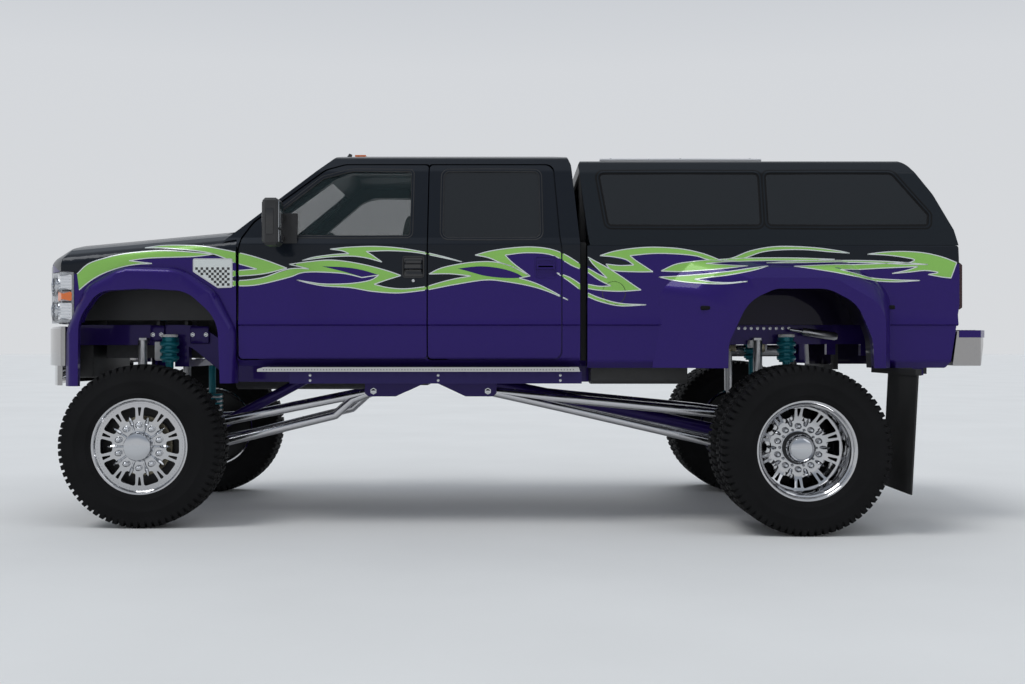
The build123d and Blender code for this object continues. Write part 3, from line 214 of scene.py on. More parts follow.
def two_tone():
    """Charcoal above the stripes and violet below, split at a line that follows them; dark underneath."""
    mat = paint("paint_two_tone", PURPLE, PURPLE_FLAKE)
    tree = mat.node_tree
    colour = tree.nodes[SHADER].inputs["Base Color"]
    split = object_place(mat)
    curve = add(mat, "ShaderNodeFloatCurve")
    line = curve.mapping.curves[0]
    points = [plan(x, y) for x, y in TONE_LINE]
    while len(line.points) < len(points):
        line.points.new(0.5, 0.5)
    for point, (x, z) in zip(line.points, points):
        point.location = ((x + LINE_REACH) / (2 * LINE_REACH), z - LINE_FOOT)
        point.handle_type = "VECTOR"
    curve.mapping.update()
    link(mat, span(mat, split, "X", -LINE_REACH, LINE_REACH), "Result", curve, "Value")
    height = maths(mat, "SUBTRACT", (split, "Z"), LINE_FOOT)
    above = maths(mat, "GREATER_THAN", height, (curve, "Value"))
    inboard = maths(mat, "LESS_THAN", maths(mat, "ABSOLUTE", (split, "Y")), INBOARD_Y)
    ahead = maths(mat, "LESS_THAN", (split, "X"), GATE_X)
    low = maths(mat, "LESS_THAN", (split, "Z"), LOW_Z)
    under = maths(mat, "MULTIPLY", maths(mat, "MULTIPLY", inboard, ahead), low)
    for factor, tone in ((above, CHARCOAL), (under, UNDERSIDE)):
        mix = add(mat, "ShaderNodeMix", data_type="RGBA")
        link(mat, *factor, mix, 0)
        tree.links.new(colour.links[0].from_socket, mix.inputs[6])
        mix.inputs[7].default_value = (*tone, 1)
        tree.links.new(mix.outputs[2], colour)
    return mat


def banded(name, height, low, high):
    """Satin metal above a height and dark violet paint below it."""
    mat = new_material(name, low, 0.4, 0.4)
    scaled = span(mat, object_place(mat), "Z", height - 0.5, height + 0.5)
    ramp = ramp_to(mat, scaled, "Result", [(0.0, low), (0.5, high)], "Base Color")
    ramp.color_ramp.interpolation = "CONSTANT"
    uneven(mat, 30.0, 4.0, 0.28, 0.5)
    return mat


M = {
    "two_tone": two_tone(),
    "violet": paint("paint_violet", PURPLE, PURPLE_FLAKE),
    "bumper": worn_metal("bumper_chrome", (0.38, 0.37, 0.365), 0.05, 0.12, wavy=3.0),
    "charcoal": paint("paint_charcoal", CHARCOAL, (0.012, 0.016, 0.019), 0.2),
    "green": paint("paint_green", (0.235, 0.50, 0.095), (0.29, 0.57, 0.13), 0.1),
    "silver": paint("paint_silver", (0.62, 0.66, 0.64), (0.74, 0.78, 0.76), 0.4),
    "frame_violet": paint("paint_frame", (0.017, 0.008, 0.088), (0.028, 0.012, 0.13), 0.3),
    "chrome": worn_metal("chrome", (0.56, 0.57, 0.59), 0.04, 0.10, wavy=6.0),
    "polished": worn_metal("polished_tube", (0.58, 0.58, 0.60), 0.14, 0.30, 14.0),
    "alloy": worn_metal("polished_alloy", (0.55, 0.55, 0.56), 0.05, 0.14, wavy=9.0),
    "satin": worn_metal("satin_aluminium", (0.60, 0.60, 0.61), 0.25, 0.42),
    "steel": worn_metal("brushed_steel", (0.45, 0.45, 0.46), 0.25, 0.45, 20.0),
    "bronze": worn_metal("brake_iron", (0.30, 0.27, 0.20), 0.35, 0.55, 30.0),
    "cast": worn_metal("cast_metal", (0.055, 0.055, 0.058), 0.45, 0.7, 25.0, 0.6),
    "black_metal": grained("black_metal", (0.012, 0.012, 0.013), 0.5, 300.0, 0.1),
    "tyre": grained("tyre_rubber", (0.0055, 0.0055, 0.006), 0.75, 180.0, 0.25, specular_ior_level=0.15),
    "rubber": grained("flap_rubber", (0.012, 0.012, 0.012), 0.7, 220.0, 0.2),
    "black_plastic": grained("black_plastic", (0.016, 0.016, 0.017), 0.45, 500.0, 0.25),
    "gloss_black": grained("gloss_black", (0.008, 0.008, 0.009), 0.12, 40.0, 0.02, coat_weight=0.5),
    "leather": grained("seat_leather", (0.060, 0.056, 0.054), 0.5, 400.0, 0.35),
    "teal": paint("spring_teal", (0.005, 0.11, 0.15), (0.01, 0.18, 0.22), 0.3),
    "glass": glass("window_glass", (0.010, 0.024, 0.026), 0.34),
    "dark_glass": glass("dark_glass", (0.010, 0.012, 0.014), 0.95),
    "lamp_clear": glass("lamp_clear", (0.70, 0.72, 0.75), 0.35, 0.06),
    "lamp_smoked": glass("lamp_smoked", (0.035, 0.005, 0.007), 0.92),
    "amber": grained("amber_lens", (0.62, 0.13, 0.015), 0.15, 60.0, 0.05, coat_weight=0.6),
    "red": grained("red_lens", (0.35, 0.01, 0.01), 0.15, 60.0, 0.05, coat_weight=0.6),
    "step_board": banded("step_board", 1.0465, PURPLE, (0.5, 0.5, 0.49)),
    "trim_black": grained("trim_black", (0.004, 0.004, 0.0045), 0.6, 300.0, 0.1, specular_ior_level=0.15),
    "reflector": worn_metal("lamp_reflector", (0.74, 0.75, 0.77), 0.08, 0.2, 40.0),
    "lamp_glassy": glass("lamp_ribs", (0.8, 0.82, 0.85), 0.5, 0.05),
    "smoke": grained("smoked_lens", (0.012, 0.006, 0.007), 0.18, 60.0, 0.05, coat_weight=0.6),
    "white_plastic": grained("white_plastic", (0.6, 0.6, 0.6), 0.45, 300.0, 0.1),
}

# CAD pieces that wear each material
DRESS = {
    "two_tone": ["cab", "fenders", "bed", "door_front_left", "door_front_right", "door_rear_left",
                 "door_rear_right", "tailgate", "hood"],
    "charcoal": ["topper", "topper_hatch"],
    "frame_violet": ["frame", "crossmembers", "front_axle", "rear_axle", "drive_shafts"],
    "chrome": ["grille"],
    "bumper": ["front_bumper", "rear_bumper"],
    "lamp_clear": ["headlamps"],
    "lamp_smoked": ["tail_lamps"],
    "amber": ["roof_lamps"],
    "dark_glass": ["topper_glass", "hatch_glass", "glass_rear_left", "glass_rear_right"],
    "glass": ["cab_glass", "glass_front_left", "glass_front_right"],
    "polished": ["front_arms", "rear_arms", "tie_rod"],
    "alloy": ["rim_front_left", "rim_front_right", "rims_rear_left", "rims_rear_right"],
    "tyre": ["tyre_front_left", "tyre_front_right", "tyres_rear_left", "tyres_rear_right"],
    "steel": ["shocks", "exhaust"],
    "teal": ["springs"],
    "cast": ["powertrain", "knuckle_left", "knuckle_right"],
    "black_metal": ["engine_bay", "hitch_receiver"],
    "step_board": ["running_boards"],
    "rubber": ["mud_flaps"],
    "black_plastic": ["fuel_tank", "dashboard", "steering_wheel", "mirror_left", "mirror_right"],
    "leather": ["seats"],
}
for key, names in DRESS.items():
    for name in names:
        mesh = nodes[name].data
        if not mesh.materials:
            mesh.materials.append(None)
        for index in range(len(mesh.materials)):
            mesh.materials[index] = M[key]

# Mesh building


def circle(radius, count, x=0.0, z=0.0):
    """Points evenly around (x, z)."""
    angles = [2 * pi * k / count for k in range(count)]
    return [(x + radius * cos(a), z + radius * sin(a)) for a in angles]


def grid_faces(rows, columns):
    """Faces between rows of points, each row closed into a ring."""
    return [(i * columns + k, i * columns + (k + 1) % columns, (i + 1) * columns + (k + 1) % columns,
             (i + 1) * columns + k) for i in range(rows - 1) for k in range(columns)]


def tube_faces(rows, columns):
    """Faces between rings of points when the last ring also joins the first."""
    count = rows * columns
    return [(a, d % count, c % count, b) for a, b, c, d in grid_faces(rows + 1, columns)]


def moved(shape, offset):
    verts, faces = shape
    return [Vector(v) + Vector(offset) for v in verts], faces


def flipped(shape, side):
    """The shape as drawn for the right side, or its mirror image for the left."""
    verts, faces = shape
    if side > 0:
        return verts, faces
    return [(v[0], -v[1], v[2]) for v in verts], [tuple(reversed(f)) for f in faces]


def turned(points, steps, closed=True):
    """Surface turned about the Y axis from (radius, y) points; closed joins the last to the first."""
    verts, faces, rings = [], [], []
    for r, y in points:
        on_axis = r < 1e-6
        rings.append([len(verts)] * steps if on_axis else list(range(len(verts), len(verts) + steps)))
        verts += [(0, y, 0)] if on_axis else [(x, y, z) for x, z in circle(r, steps)]
    for a, b in zip(rings, rings[1:] + (rings[:1] if closed else [])):
        for k in range(steps):
            n = (k + 1) % steps
            face = tuple(dict.fromkeys((a[k], b[k], b[n], a[n])))
            if len(face) > 2:
                faces.append(face)
    return verts, faces


def box(lo, hi, radius, segments=2):
    """Box with rounded edges between two corners."""
    bm = bmesh.new()
    bmesh.ops.create_cube(bm, size=1.0)
    for v in bm.verts:
        v.co = Vector([(c + 0.5) * (h - l) + l for c, l, h in zip(v.co, lo, hi)])
    bmesh.ops.bevel(bm, geom=bm.edges[:], offset=radius, segments=segments, profile=0.5, affect="EDGES")
    bm.verts.index_update()
    shape = [v.co.copy() for v in bm.verts], [tuple(v.index for v in f.verts) for f in bm.faces]
    bm.free()
    return shape


def swept(path, radius, sides):
    """Round bar along a path of points, with closed ends; radius may change along it."""
    path = [Vector(p) for p in path]
    radii = radius if isinstance(radius, list) else [radius] * len(path)
    verts = []
    up = Vector((0, 0, 1))
    for i, (p, r) in enumerate(zip(path, radii)):
        ahead = (path[min(i + 1, len(path) - 1)] - path[max(i - 1, 0)]).normalized()
        if abs(ahead.dot(up)) > 0.95:
            up = Vector((0, 1, 0))
        side = ahead.cross(up).normalized()
        top = side.cross(ahead).normalized()
        verts += [p + side * u + top * w for u, w in circle(r, sides)]
    faces = grid_faces(len(path), sides)
    faces.append(tuple(reversed(range(sides))))
    faces.append(tuple(range(len(verts) - sides, len(verts))))
    return verts, faces


def bolt(centre, axis, radius, height):
    """Hexagon bolt head with a washer, standing on a surface."""
    turn = Vector((0, 1, 0)).rotation_difference(Vector(axis))
    washer, low = radius * 1.35, height * 0.25
    verts, faces = turned([(0, 0), (washer, 0), (washer, low), (radius, low), (radius, height * 0.85),
                           (radius * 0.8, height), (0, height)], 6)
    return [turn @ Vector(v) + Vector(centre) for v in verts], faces


def into_scene(name, data):
    obj = bpy.data.objects.new(name, data)
    bpy.context.scene.collection.objects.link(obj)
    return obj


class Build:
    """Collects the faces of one object, each with its material."""

    def __init__(self):
        self.verts, self.faces, self.looks, self.keys = [], [], [], []

    def add(self, shape, key):
        base = len(self.verts)
        self.verts += [tuple(v) for v in shape[0]]
        self.faces += [tuple(base + i for i in face) for face in shape[1]]
        if key not in self.keys:
            self.keys.append(key)
        self.looks += [self.keys.index(key)] * len(shape[1])

    def box(self, x, y, z, radius, key, side=1, segments=2):
        """Rounded box between ranges of x, y and z; y counts outward on the given side."""
        (x0, x1), (y0, y1), (z0, z1) = x, sorted(side * v for v in y), z
        self.add(box((x0, y0, z0), (x1, y1, z1), radius, segments), key)

    def bar(self, path, radius, sides, key):
        self.add(swept(path, radius, sides), key)

    def bolt(self, centre, axis, radius, height):
        self.add(bolt(centre, axis, radius, height), "chrome")

    def finish(self, name, body="chassis", angle=40):
        mesh = bpy.data.meshes.new(name)
        mesh.from_pydata(self.verts, [], self.faces)
        for key in self.keys:
            mesh.materials.append(M[key])
        mesh.polygons.foreach_set("material_index", self.looks)
        mesh.shade_smooth()
        mesh.set_sharp_from_angle(angle=radians(angle))
        obj = into_scene(name, mesh)
        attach(obj, body)
        return obj


def pillow(lo, hi, power):
    """Stuffed cushion between two corners, full in the middle and rounded at the edges."""
    rows, columns = 18, 36
    centre = [(a + b) / 2 for a, b in zip(lo, hi)]
    half = [(b - a) / 2 for a, b in zip(lo, hi)]

    def bent(value, exponent=power):
        return (1 if value >= 0 else -1) * abs(value) ** exponent

    verts = []
    for i in range(1, rows):
        v = -pi / 2 + pi * i / rows
        for j in range(columns):
            u = 2 * pi * j / columns
            verts.append((centre[0] + half[0] * bent(cos(v)) * bent(cos(u)),
                          centre[1] + half[1] * bent(cos(v)) * bent(sin(u)),
                          centre[2] + half[2] * bent(sin(v), power * 1.6)))
    faces = grid_faces(rows - 1, columns)
    for ring, z in ((0, lo[2]), (rows - 2, hi[2])):
        verts.append((centre[0], centre[1], z))
        for j in range(columns):
            n = (j + 1) % columns
            face = (ring * columns + j, ring * columns + n, len(verts) - 1)
            faces.append(face if ring else tuple(reversed(face)))
    return verts, faces


def smooth_run(points, step):
    """Smooth curve through the points, sampled every step."""
    p = [Vector(q) for q in points]
    p = [p[0] * 2 - p[1]] + p + [p[-1] * 2 - p[-2]]
    out = []
    for i in range(1, len(p) - 2):
        count = max(1, int((p[i + 1] - p[i]).length / step))
        for k in range(count):
            t = k / count
            a, b, c, d = p[i - 1:i + 3]
            out.append(0.5 * (2 * b + (c - a) * t + (2 * a - 5 * b + 4 * c - d) * t * t
                              + (3 * b - a - 3 * c + d) * t ** 3))
    return out + [p[-2]]


def rounded(points, radius):
    """Closed outline with its corners rounded."""
    steps, out = 4, []
    for i, point in enumerate(points):
        b, a, c = Vector(point), Vector(points[i - 1]), Vector(points[(i + 1) % len(points)])
        u, v = (a - b).normalized(), (c - b).normalized()
        half = u.angle(v) / 2
        reach = min(radius / max(1e-6, np.tan(half)), (a - b).length * 0.49, (c - b).length * 0.49)
        for t in (k / steps for k in range(steps + 1)):
            out.append((b + u * reach) * (1 - t) ** 2 + b * 2 * t * (1 - t) + (b + v * reach) * t * t)
    return out


def inside(outline, x, y):
    """Whether each point lies inside a closed outline."""
    hit = np.zeros(len(x), bool)
    for (x0, y0), (x1, y1) in zip(outline, outline[1:] + outline[:1]):
        if y0 != y1:
            hit ^= ((y0 > y) != (y1 > y)) & (x < (x1 - x0) * (y - y0) / (y1 - y0) + x0)
    return hit


def filled(outlines, keep, spacing=0.0, extra=()):
    """Triangles of a flat region bounded by the outlines; keep says which triangles stay."""
    points, edges = [], []
    for outline in outlines:
        base = len(points)
        points += [Vector((p[0], p[1])) for p in outline]
        edges += [(base + i, base + (i + 1) % len(outline)) for i in range(len(outline))]
    if spacing:
        xs, ys = [p.x for p in points], [p.y for p in points]
        gx = np.arange(min(xs) + spacing / 2, max(xs), spacing)
        gy = np.arange(min(ys) + spacing / 2, max(ys), spacing)
        points += [Vector((x, y)) for x in gx for y in gy]
    points += [Vector(p) for p in extra]
    found = delaunay_2d_cdt(points, edges, [], 0, 1e-7)
    verts, tris = found[0], [f for f in found[2] if len(f) == 3]
    xy = np.array([[v.x, v.y] for v in verts])
    centres = xy[np.array(tris)].mean(axis=1)
    stay = keep(centres[:, 0], centres[:, 1])
    tris = [t for t, s in zip(tris, stay) if s]
    used = sorted({i for t in tris for i in t})
    order = {i: k for k, i in enumerate(used)}
    return [tuple(xy[i]) for i in used], [tuple(order[i] for i in t) for t in tris]


TREES = {}


def skin(names, side, x, z, lift):
    """Point on the outside of the named CAD pieces beside (x, z), raised by lift."""
    key = tuple(names)
    if key not in TREES:
        verts, faces = [], []
        for name in names:
            mesh = nodes[name].data
            base = len(verts)
            verts += [v.co.copy() for v in mesh.vertices]
            faces += [tuple(base + i for i in p.vertices) for p in mesh.polygons]
        TREES[key] = BVHTree.FromPolygons(verts, faces)
    place, normal = TREES[key].ray_cast(Vector((x, side * 1.8, z)), Vector((0, -side, 0)), 1.3)[:2]
    if place is None:
        return None
    return place + (normal if normal.y * side > 0 else -normal) * lift


def decal(build, outline, names, side, lift, key, x_range=(-9, 9), spacing=0.012):
    """Flat outline in (x, z) laid on the side of the named pieces."""
    lo, hi = x_range
    walls = [v for v in (lo, hi) if min(p[0] for p in outline) < v < max(p[0] for p in outline)]
    z0, z1 = min(p[1] for p in outline) - 0.01, max(p[1] for p in outline) + 0.01
    extra = [(v, z) for v in walls for z in np.arange(z0, z1, spacing / 2)]
    ring = [(p[0], p[1]) for p in outline]
    flat, tris = filled([ring], lambda x, y: inside(ring, x, y) & (x > lo) & (x < hi), spacing, extra)
    if not tris:
        return
    points = [skin(names, side, x, z, lift) for x, z in flat]
    tris = [t if side < 0 else t[::-1] for t in tris if all(points[i] for i in t)]
    build.add(([p or Vector((0, 0, 0)) for p in points], tris), key)


def moulding(build, path, width, height, names, side, key, closed=False, x_range=(-9, 9), base=0.0003):
    """Raised strip along a path in (x, z) that follows the side of the named pieces."""
    path = [Vector(p) for p in path]
    run = []
    for i, p in enumerate(path):
        if closed:
            ahead = (path[(i + 1) % len(path)] - path[i - 1]).normalized()
        else:
            ahead = (path[min(i + 1, len(path) - 1)] - path[max(i - 1, 0)]).normalized()
        section = []
        for share, rise in ((-0.5, 0), (-0.38, 1), (0.38, 1), (0.5, 0)):
            q = p + Vector((-ahead.y, ahead.x)) * (width * share)
            on = x_range[0] < q.x < x_range[1]
            section.append(skin(names, side, q.x, q.y, base + height * rise) if on else None)
        run.append(section if all(section) else None)
    if closed:
        run.append(run[0])
    rows, verts, faces = [], [], []
    for section in run:
        rows.append(None if section is None else len(verts))
        verts += section or []
    for a, b in zip(rows, rows[1:]):
        if a is None or b is None:
            continue
        for k in range(3):
            face = (a + k, a + k + 1, b + k + 1, b + k)
            faces.append(face if side < 0 else face[::-1])
    if faces:
        build.add((verts, faces), key)


BODY_OF = {"hood": "hood", "topper_hatch": "hatch", "tailgate": "tailgate"}
FLAT_ANGLE, FLARE_ANGLE = 28, 50  # edges up to this many degrees are shaded soft


def smooth_panels():
    """The big panels again with soft shading over their shallow edges, in place of the plain ones."""
    for key in ("two_tone", "charcoal", "chrome", "bumper"):
        for name in DRESS[key]:
            source = nodes[name].data
            order, verts, at = {}, [], []
            for v in source.vertices:
                spot = tuple(round(c, 5) for c in v.co)
                if spot not in order:
                    order[spot] = len(verts)
                    verts.append(v.co.copy())
                at.append(order[spot])
            faces = [tuple(dict.fromkeys(at[i] for i in p.vertices)) for p in source.polygons]
            build = Build()
            build.add((verts, [f for f in faces if len(f) > 2]), key)
            body = BODY_OF.get(name, name if name.startswith("door") else "chassis")
            panel = build.finish(f"{name}_panel", body, FLARE_ANGLE if name == "fenders" else FLAT_ANGLE)
            weigh = panel.modifiers.new("even_shading", "WEIGHTED_NORMAL")
            weigh.keep_sharp = True
            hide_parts(name)


# Flame stripes, drawn in the photograph's pixels; a third value of 1 marks a sharp tip

GREEN_SHAPES = [
    # fender
    [(77, 274, 1), (88, 264), (105, 258), (125, 253.5), (150, 251), (175, 251), (214, 254, 1), (193, 256.5),
     (150, 258), (129, 260.7, 1), (152, 263.5, 1), (135, 264.5), (118, 268), (102, 274), (90, 281),
     (79, 290, 1)],
    [(143, 247.5, 1), (160, 245), (185, 245), (205, 246.5), (240, 253), (265, 260), (287, 268.2, 1),
     (262, 274), (232, 276.5, 1), (232, 271, 1), (257, 269, 1), (232, 262, 1), (222, 257), (205, 252),
     (175, 248.7), (160, 247.6)],
    [(232, 281, 1), (250, 279.7), (265, 277), (280, 271.5), (290, 268.8), (300, 268.3), (309, 269, 1),
     (300, 266.7), (289, 264.3, 1), (310, 261.5), (330, 260), (350, 262), (370, 266), (388, 271),
     (401, 275.5, 1), (388, 279.5), (374, 284.3, 1), (388, 287.6), (405, 288.8), (426.6, 286.6, 1),
     (426.6, 289.9, 1), (410, 292), (395, 293), (372, 291.3),
     (350, 287.6), (325, 286), (310, 283.4), (297, 280, 1), (310, 282.2), (325, 284), (350, 283.5),
     (370, 280.3), (379, 275, 1), (362, 277.5, 1), (345, 273.7), (325, 272.2), (310, 272), (300, 273.2),
     (290, 277), (265, 283.3), (250, 285.6), (232, 286, 1)],
    # front door
    [(330, 249, 1), (350, 247), (375, 246.3), (400, 248), (425, 252.3), (445, 257), (462, 261.8, 1),
     (440, 257), (415, 252.3), (390, 250.6), (366, 251.3, 1), (372, 255), (382, 262, 1), (365, 257.6),
     (350, 256), (330, 256.8), (315, 258.5), (302, 260.4, 1), (315, 256.9), (335, 254.3), (349, 253.7, 1),
     (342, 250.7)],
    # rear door
    [(429, 274, 1), (440, 268.5), (455, 264.8), (475, 262), (495, 262), (513, 267), (530, 276, 1),
     (519, 278, 1), (535, 283), (550, 290), (568, 300, 1), (548, 291.5), (530, 286), (505, 281.5),
     (485, 280), (455, 284.5), (427, 290, 1), (427, 286.5, 1), (440, 282.5), (455, 278.8), (471, 276, 1),
     (450, 273.8)],
    [(475, 255, 1), (490, 251), (510, 248), (530, 246.8), (548, 248.5), (562, 253), (575, 260.5),
     (583, 266.5, 1), (583, 270, 1), (572, 265.5), (558, 257.5), (545, 253.5), (525, 252.7), (505, 255, 1),
     (513, 263), (530, 276, 1), (513, 267), (500, 262.5, 1), (488, 257.5)],
    [(556, 272.5, 1), (570, 277.5), (583, 286, 1), (583, 292, 1), (570, 282)],
    # bed
    [(588, 257, 1), (598, 262.5), (608, 268), (622, 277), (632, 284), (641, 290, 1), (620, 291.3),
     (600, 290.3), (588, 288.5, 1), (588, 284.3, 1), (600, 286.3), (611, 285.8, 1), (600, 280.5),
     (588, 272.5, 1), (588, 268.3, 1), (600, 275), (607, 278, 1), (600, 271), (593, 264)],
    [(588, 293, 1), (600, 298), (620, 303.3), (646, 304.8, 1), (620, 305.8), (600, 301.5), (588, 296.8, 1)],
    [(600, 255.5, 1), (615, 251), (635, 248), (655, 247), (680, 248.5), (700, 252.5), (713, 257),
     (722, 261, 1), (708, 259.5), (697, 256), (680, 254), (655, 253.3), (630, 255.5, 1), (636, 260.5),
     (645, 266.5), (653, 271.8, 1), (635, 271.8), (613, 270.3), (606, 264, 1), (620, 265.5), (634, 265, 1),
     (626, 259.5), (614, 256.8)],
    [(661, 271, 1), (675, 264.5), (690, 261.8), (712, 260), (740, 258.3), (770, 257.8), (800, 258),
     (835, 259.3, 1), (800, 260.5), (765, 261), (730, 262), (705, 264, 1), (725, 266), (745, 267, 1),
     (725, 269.3), (700, 271), (680, 271.6)],
    [(659, 277, 1), (675, 276.3), (700, 275), (725, 272.8), (745, 269.8), (765, 267, 1), (748, 272),
     (725, 276.3), (705, 278.5), (693, 280, 1), (708, 283), (725, 284), (742, 283, 1), (722, 285),
     (700, 284.3), (680, 281.8)],
    [(722, 261, 1), (735, 257), (750, 251), (770, 247), (790, 246.3), (815, 247.5), (838, 250.5),
     (850, 253, 1), (830, 251.6), (805, 249.5), (780, 249.8), (762, 252), (746, 257.5), (735, 260)],
    [(765, 263.5, 1), (800, 261.3), (850, 260.4), (880, 261), (905, 262.5), (928, 264.5, 1), (900, 264),
     (870, 262.6), (840, 262.3), (800, 263.3)],
    [(868, 254, 1), (885, 252), (905, 251.3), (925, 252.8), (943, 257), (957, 262.5, 1), (954, 270),
     (951, 278, 1), (942, 277), (928, 274.5, 1), (938, 272.5), (925, 270.5), (910, 272), (892, 273.5, 1),
     (908, 270), (918, 266.5, 1), (900, 267.3), (875, 268.5), (850, 270), (835, 271, 1), (850, 274),
     (870, 277.8), (895, 279.8), (920, 280.5, 1), (895, 281.8), (870, 280.5), (850, 277.5), (830, 274),
     (810, 270.5), (790, 267.5, 1), (820, 266), (850, 264.8), (880, 263.6), (910, 262.5, 1), (915, 259.5),
     (900, 256.5), (885, 254.8)],
]
VIOLET_SHAPES = [
    [(232, 262, 1), (257, 269, 1), (232, 271, 1)],
    [(292, 277, 1), (300, 273.3), (310, 272.1), (325, 272.3), (345, 273.8), (362, 277.5, 1), (379, 275, 1),
     (370, 280.2), (350, 283.4), (325, 283.9), (310, 282.1), (297, 280.2, 1)],
    [(322, 266.3, 1), (345, 267.3), (362, 270), (379, 275, 1), (362, 277, 1), (345, 272), (332, 268.7)],
    [(458, 268.5, 1), (480, 266.3), (500, 268.3), (516, 273), (524, 277.8, 1), (505, 278), (485, 275.8),
     (470, 271.8)],
]
CHARCOAL_SHAPES = [
    [(232, 277.5, 1), (262, 275), (287, 268.6, 1), (296, 263, 1), (296, 267.3, 1), (265, 276.7), (250, 279),
     (232, 280.2, 1)],
    [(603, 258.7, 1), (614, 258), (625, 261), (632, 264.2, 1), (618, 264.6), (605, 262.5, 1)],
]

# Panels of one side: node, its body and its range along x
PANELS = [
    ("fenders", "chassis", (-3.30, -1.8035)), ("door_front_{}", "door_front_{}", (-1.7825, -0.5085)),
    ("door_rear_{}", "door_rear_{}", (-0.4985, 0.4045)), ("cab", "chassis", (0.4145, 0.5335)),
    ("bed", "chassis", (0.5845, 3.1045)),
]

# Colour layers with their shapes and lifts above the paint, and the silver edge's lift and width
LAYERS = (("green", GREEN_SHAPES, 0.0009), ("violet", VIOLET_SHAPES, 0.0013),
          ("charcoal", CHARCOAL_SHAPES, 0.0013))
EDGE_LIFT, EDGE_WIDTH = 0.0016, 0.0065


def shape_runs(shape):
    """Smooth runs between the sharp tips of a shape, in (x, z)."""
    tips = [i for i, p in enumerate(shape) if len(p) > 2]
    runs = []
    for a, b in zip(tips, tips[1:] + [tips[0] + len(shape)]):
        points = [plan(*shape[i % len(shape)][:2]) for i in range(a, b + 1)]
        runs.append(smooth_run(points, 0.012))
    return runs


def stripes():
    """Green flames with silver edges on every panel of both sides."""
    drawn = [(key, shape_runs(shape), lift) for key, shapes, lift in LAYERS for shape in shapes]
    for name, side in SIDES:
        for node, body, x_range in PANELS:
            node, (x0, x1) = node.format(name), x_range
            build = Build()
            for key, runs, lift in drawn:
                ring = [p for run in runs for p in run[:-1]]
                if max(p.x for p in ring) < x0 or min(p.x for p in ring) > x1:
                    continue
                decal(build, ring, [node], side, lift, key, x_range)
                for run in runs if key == "green" else ():
                    edge = [p for p in run if x0 < p.x < x1]
                    if max(p.x for p in run) - min(p.x for p in run) >= 0.02 and len(edge) > 1:
                        moulding(build, edge, EDGE_WIDTH, 0.0002, [node], side, "silver", x_range=x_range,
                                 base=EDGE_LIFT)
            if build.faces:
                build.finish(f"stripes_{node}_{name}", body.format(name), 60)


# Wheels and tyres, drawn about their own centre with the outside toward +Y

DISC_THICK = 0.014
PITCHES = 70  # tread blocks around a tyre


def spoke(count):
    """Angle of a spoke, counted from the first."""
    return 2 * pi * count / SPOKES


def polar(radius, angle):
    return radius * cos(angle), radius * sin(angle)


def radial(points, angle):
    """Points drawn outward along X, turned to an angle about the wheel's axis."""
    c, s = polar(1.0, angle)
    return [Vector((p[0] * c - p[1] * s, p[0] * s + p[1] * c)) for p in points]


def pierced_disc(build, r0, r1, holes, profile):
    """Dished disc with holes; profile gives its face's y at each radius."""
    extra = [polar(r, a) for r in np.arange(r0 + 0.01, r1 - 0.004, 0.011) for a in np.arange(0, 2 * pi, 0.08)]

    def keep(x, y):
        stay = np.hypot(x, y) > r0
        for hole in holes:
            stay &= ~inside([tuple(p) for p in hole], x, y)
        return stay

    flat, tris = filled([circle(r1, 144), circle(r0, 72)] + holes, keep, extra=extra)
    rs, ys = zip(*profile)
    front = [(x, float(np.interp(hypot(x, z), rs, ys)), z) for x, z in flat]
    back = [(x, y - DISC_THICK, z) for x, y, z in front]
    count = len(flat)
    faces = [t[::-1] for t in tris] + [tuple(count + i for i in t) for t in tris]
    edges = dict.fromkeys(e for a, b, c in tris for e in ((a, b), (b, c), (c, a)))
    faces += [(a, b, count + b, count + a) for a, b in edges if (b, a) not in edges]
    build.add((front + back, faces), "alloy")


def windows(*shapes):
    """Holes around a disc: the first shape at each spoke's angle, the second half way between."""
    holes = []
    for k in range(SPOKES):
        for n, (r_in, r_out, half_in, half_out, corner) in enumerate(shapes):
            points = [(r_in, -half_in), (r_out, -half_out), (r_out, half_out), (r_in, half_in)]
            holes.append(radial(rounded(points, corner), spoke(k + n / 2)))
    return holes


def lug_nut(build, place, y, height, radius):
    """Flanged nut with a rounded end; place is its (x, z) on the wheel."""
    nut = turned([(0, y), (radius * 1.12, y), (radius * 1.12, y + 0.004), (radius, y + 0.006),
                  (radius, y + height * 0.62), (radius * 0.62, y + height * 0.8), (0, y + height)], 12, False)
    build.add(moved(nut, (place[0], 0, place[1])), "chrome")


def spear(build, angle, r0, r1, y, lift):
    """Leaf-shaped pointed blade lying along a radius."""
    verts = []
    for share, half, high in ((0, 0.006, 0.006), (0.3, 0.0115, 0.009), (0.6, 0.009, 0.008),
                              (0.85, 0.004, 0.005), (1, 0.0004, 0.001)):
        r, base = r0 + (r1 - r0) * share, y + lift * share
        for u, w in ((-half, 0), (0, high), (half, 0), (0, -high * 0.4)):
            p = radial([(r, u)], angle)[0]
            verts.append((p.x, base + w, p.y))
    build.add((verts, grid_faces(5, 4) + [(0, 3, 2, 1), (16, 17, 18, 19)]), "chrome")


def barrel(build):
    """Rim barrel: bright flanges on a dark inside."""
    flange = [(0.3115, 0.106), (0.3245, 0.114), (0.3265, 0.119), (0.3235, 0.1235), (0.312, 0.121),
              (0.299, 0.108), (0.293, 0.096), (0.300, 0.094)]
    build.add(turned([(r, -y) for r, y in flange[::-1]], 120), "alloy")
    build.add(turned(flange, 120), "alloy")
    build.add(turned([(0.3110, -0.106), (0.297, -0.100), (0.289, -0.088), (0.287, 0.060), (0.291, 0.088),
                      (0.300, 0.098), (0.3110, 0.106)], 96), "black_metal")


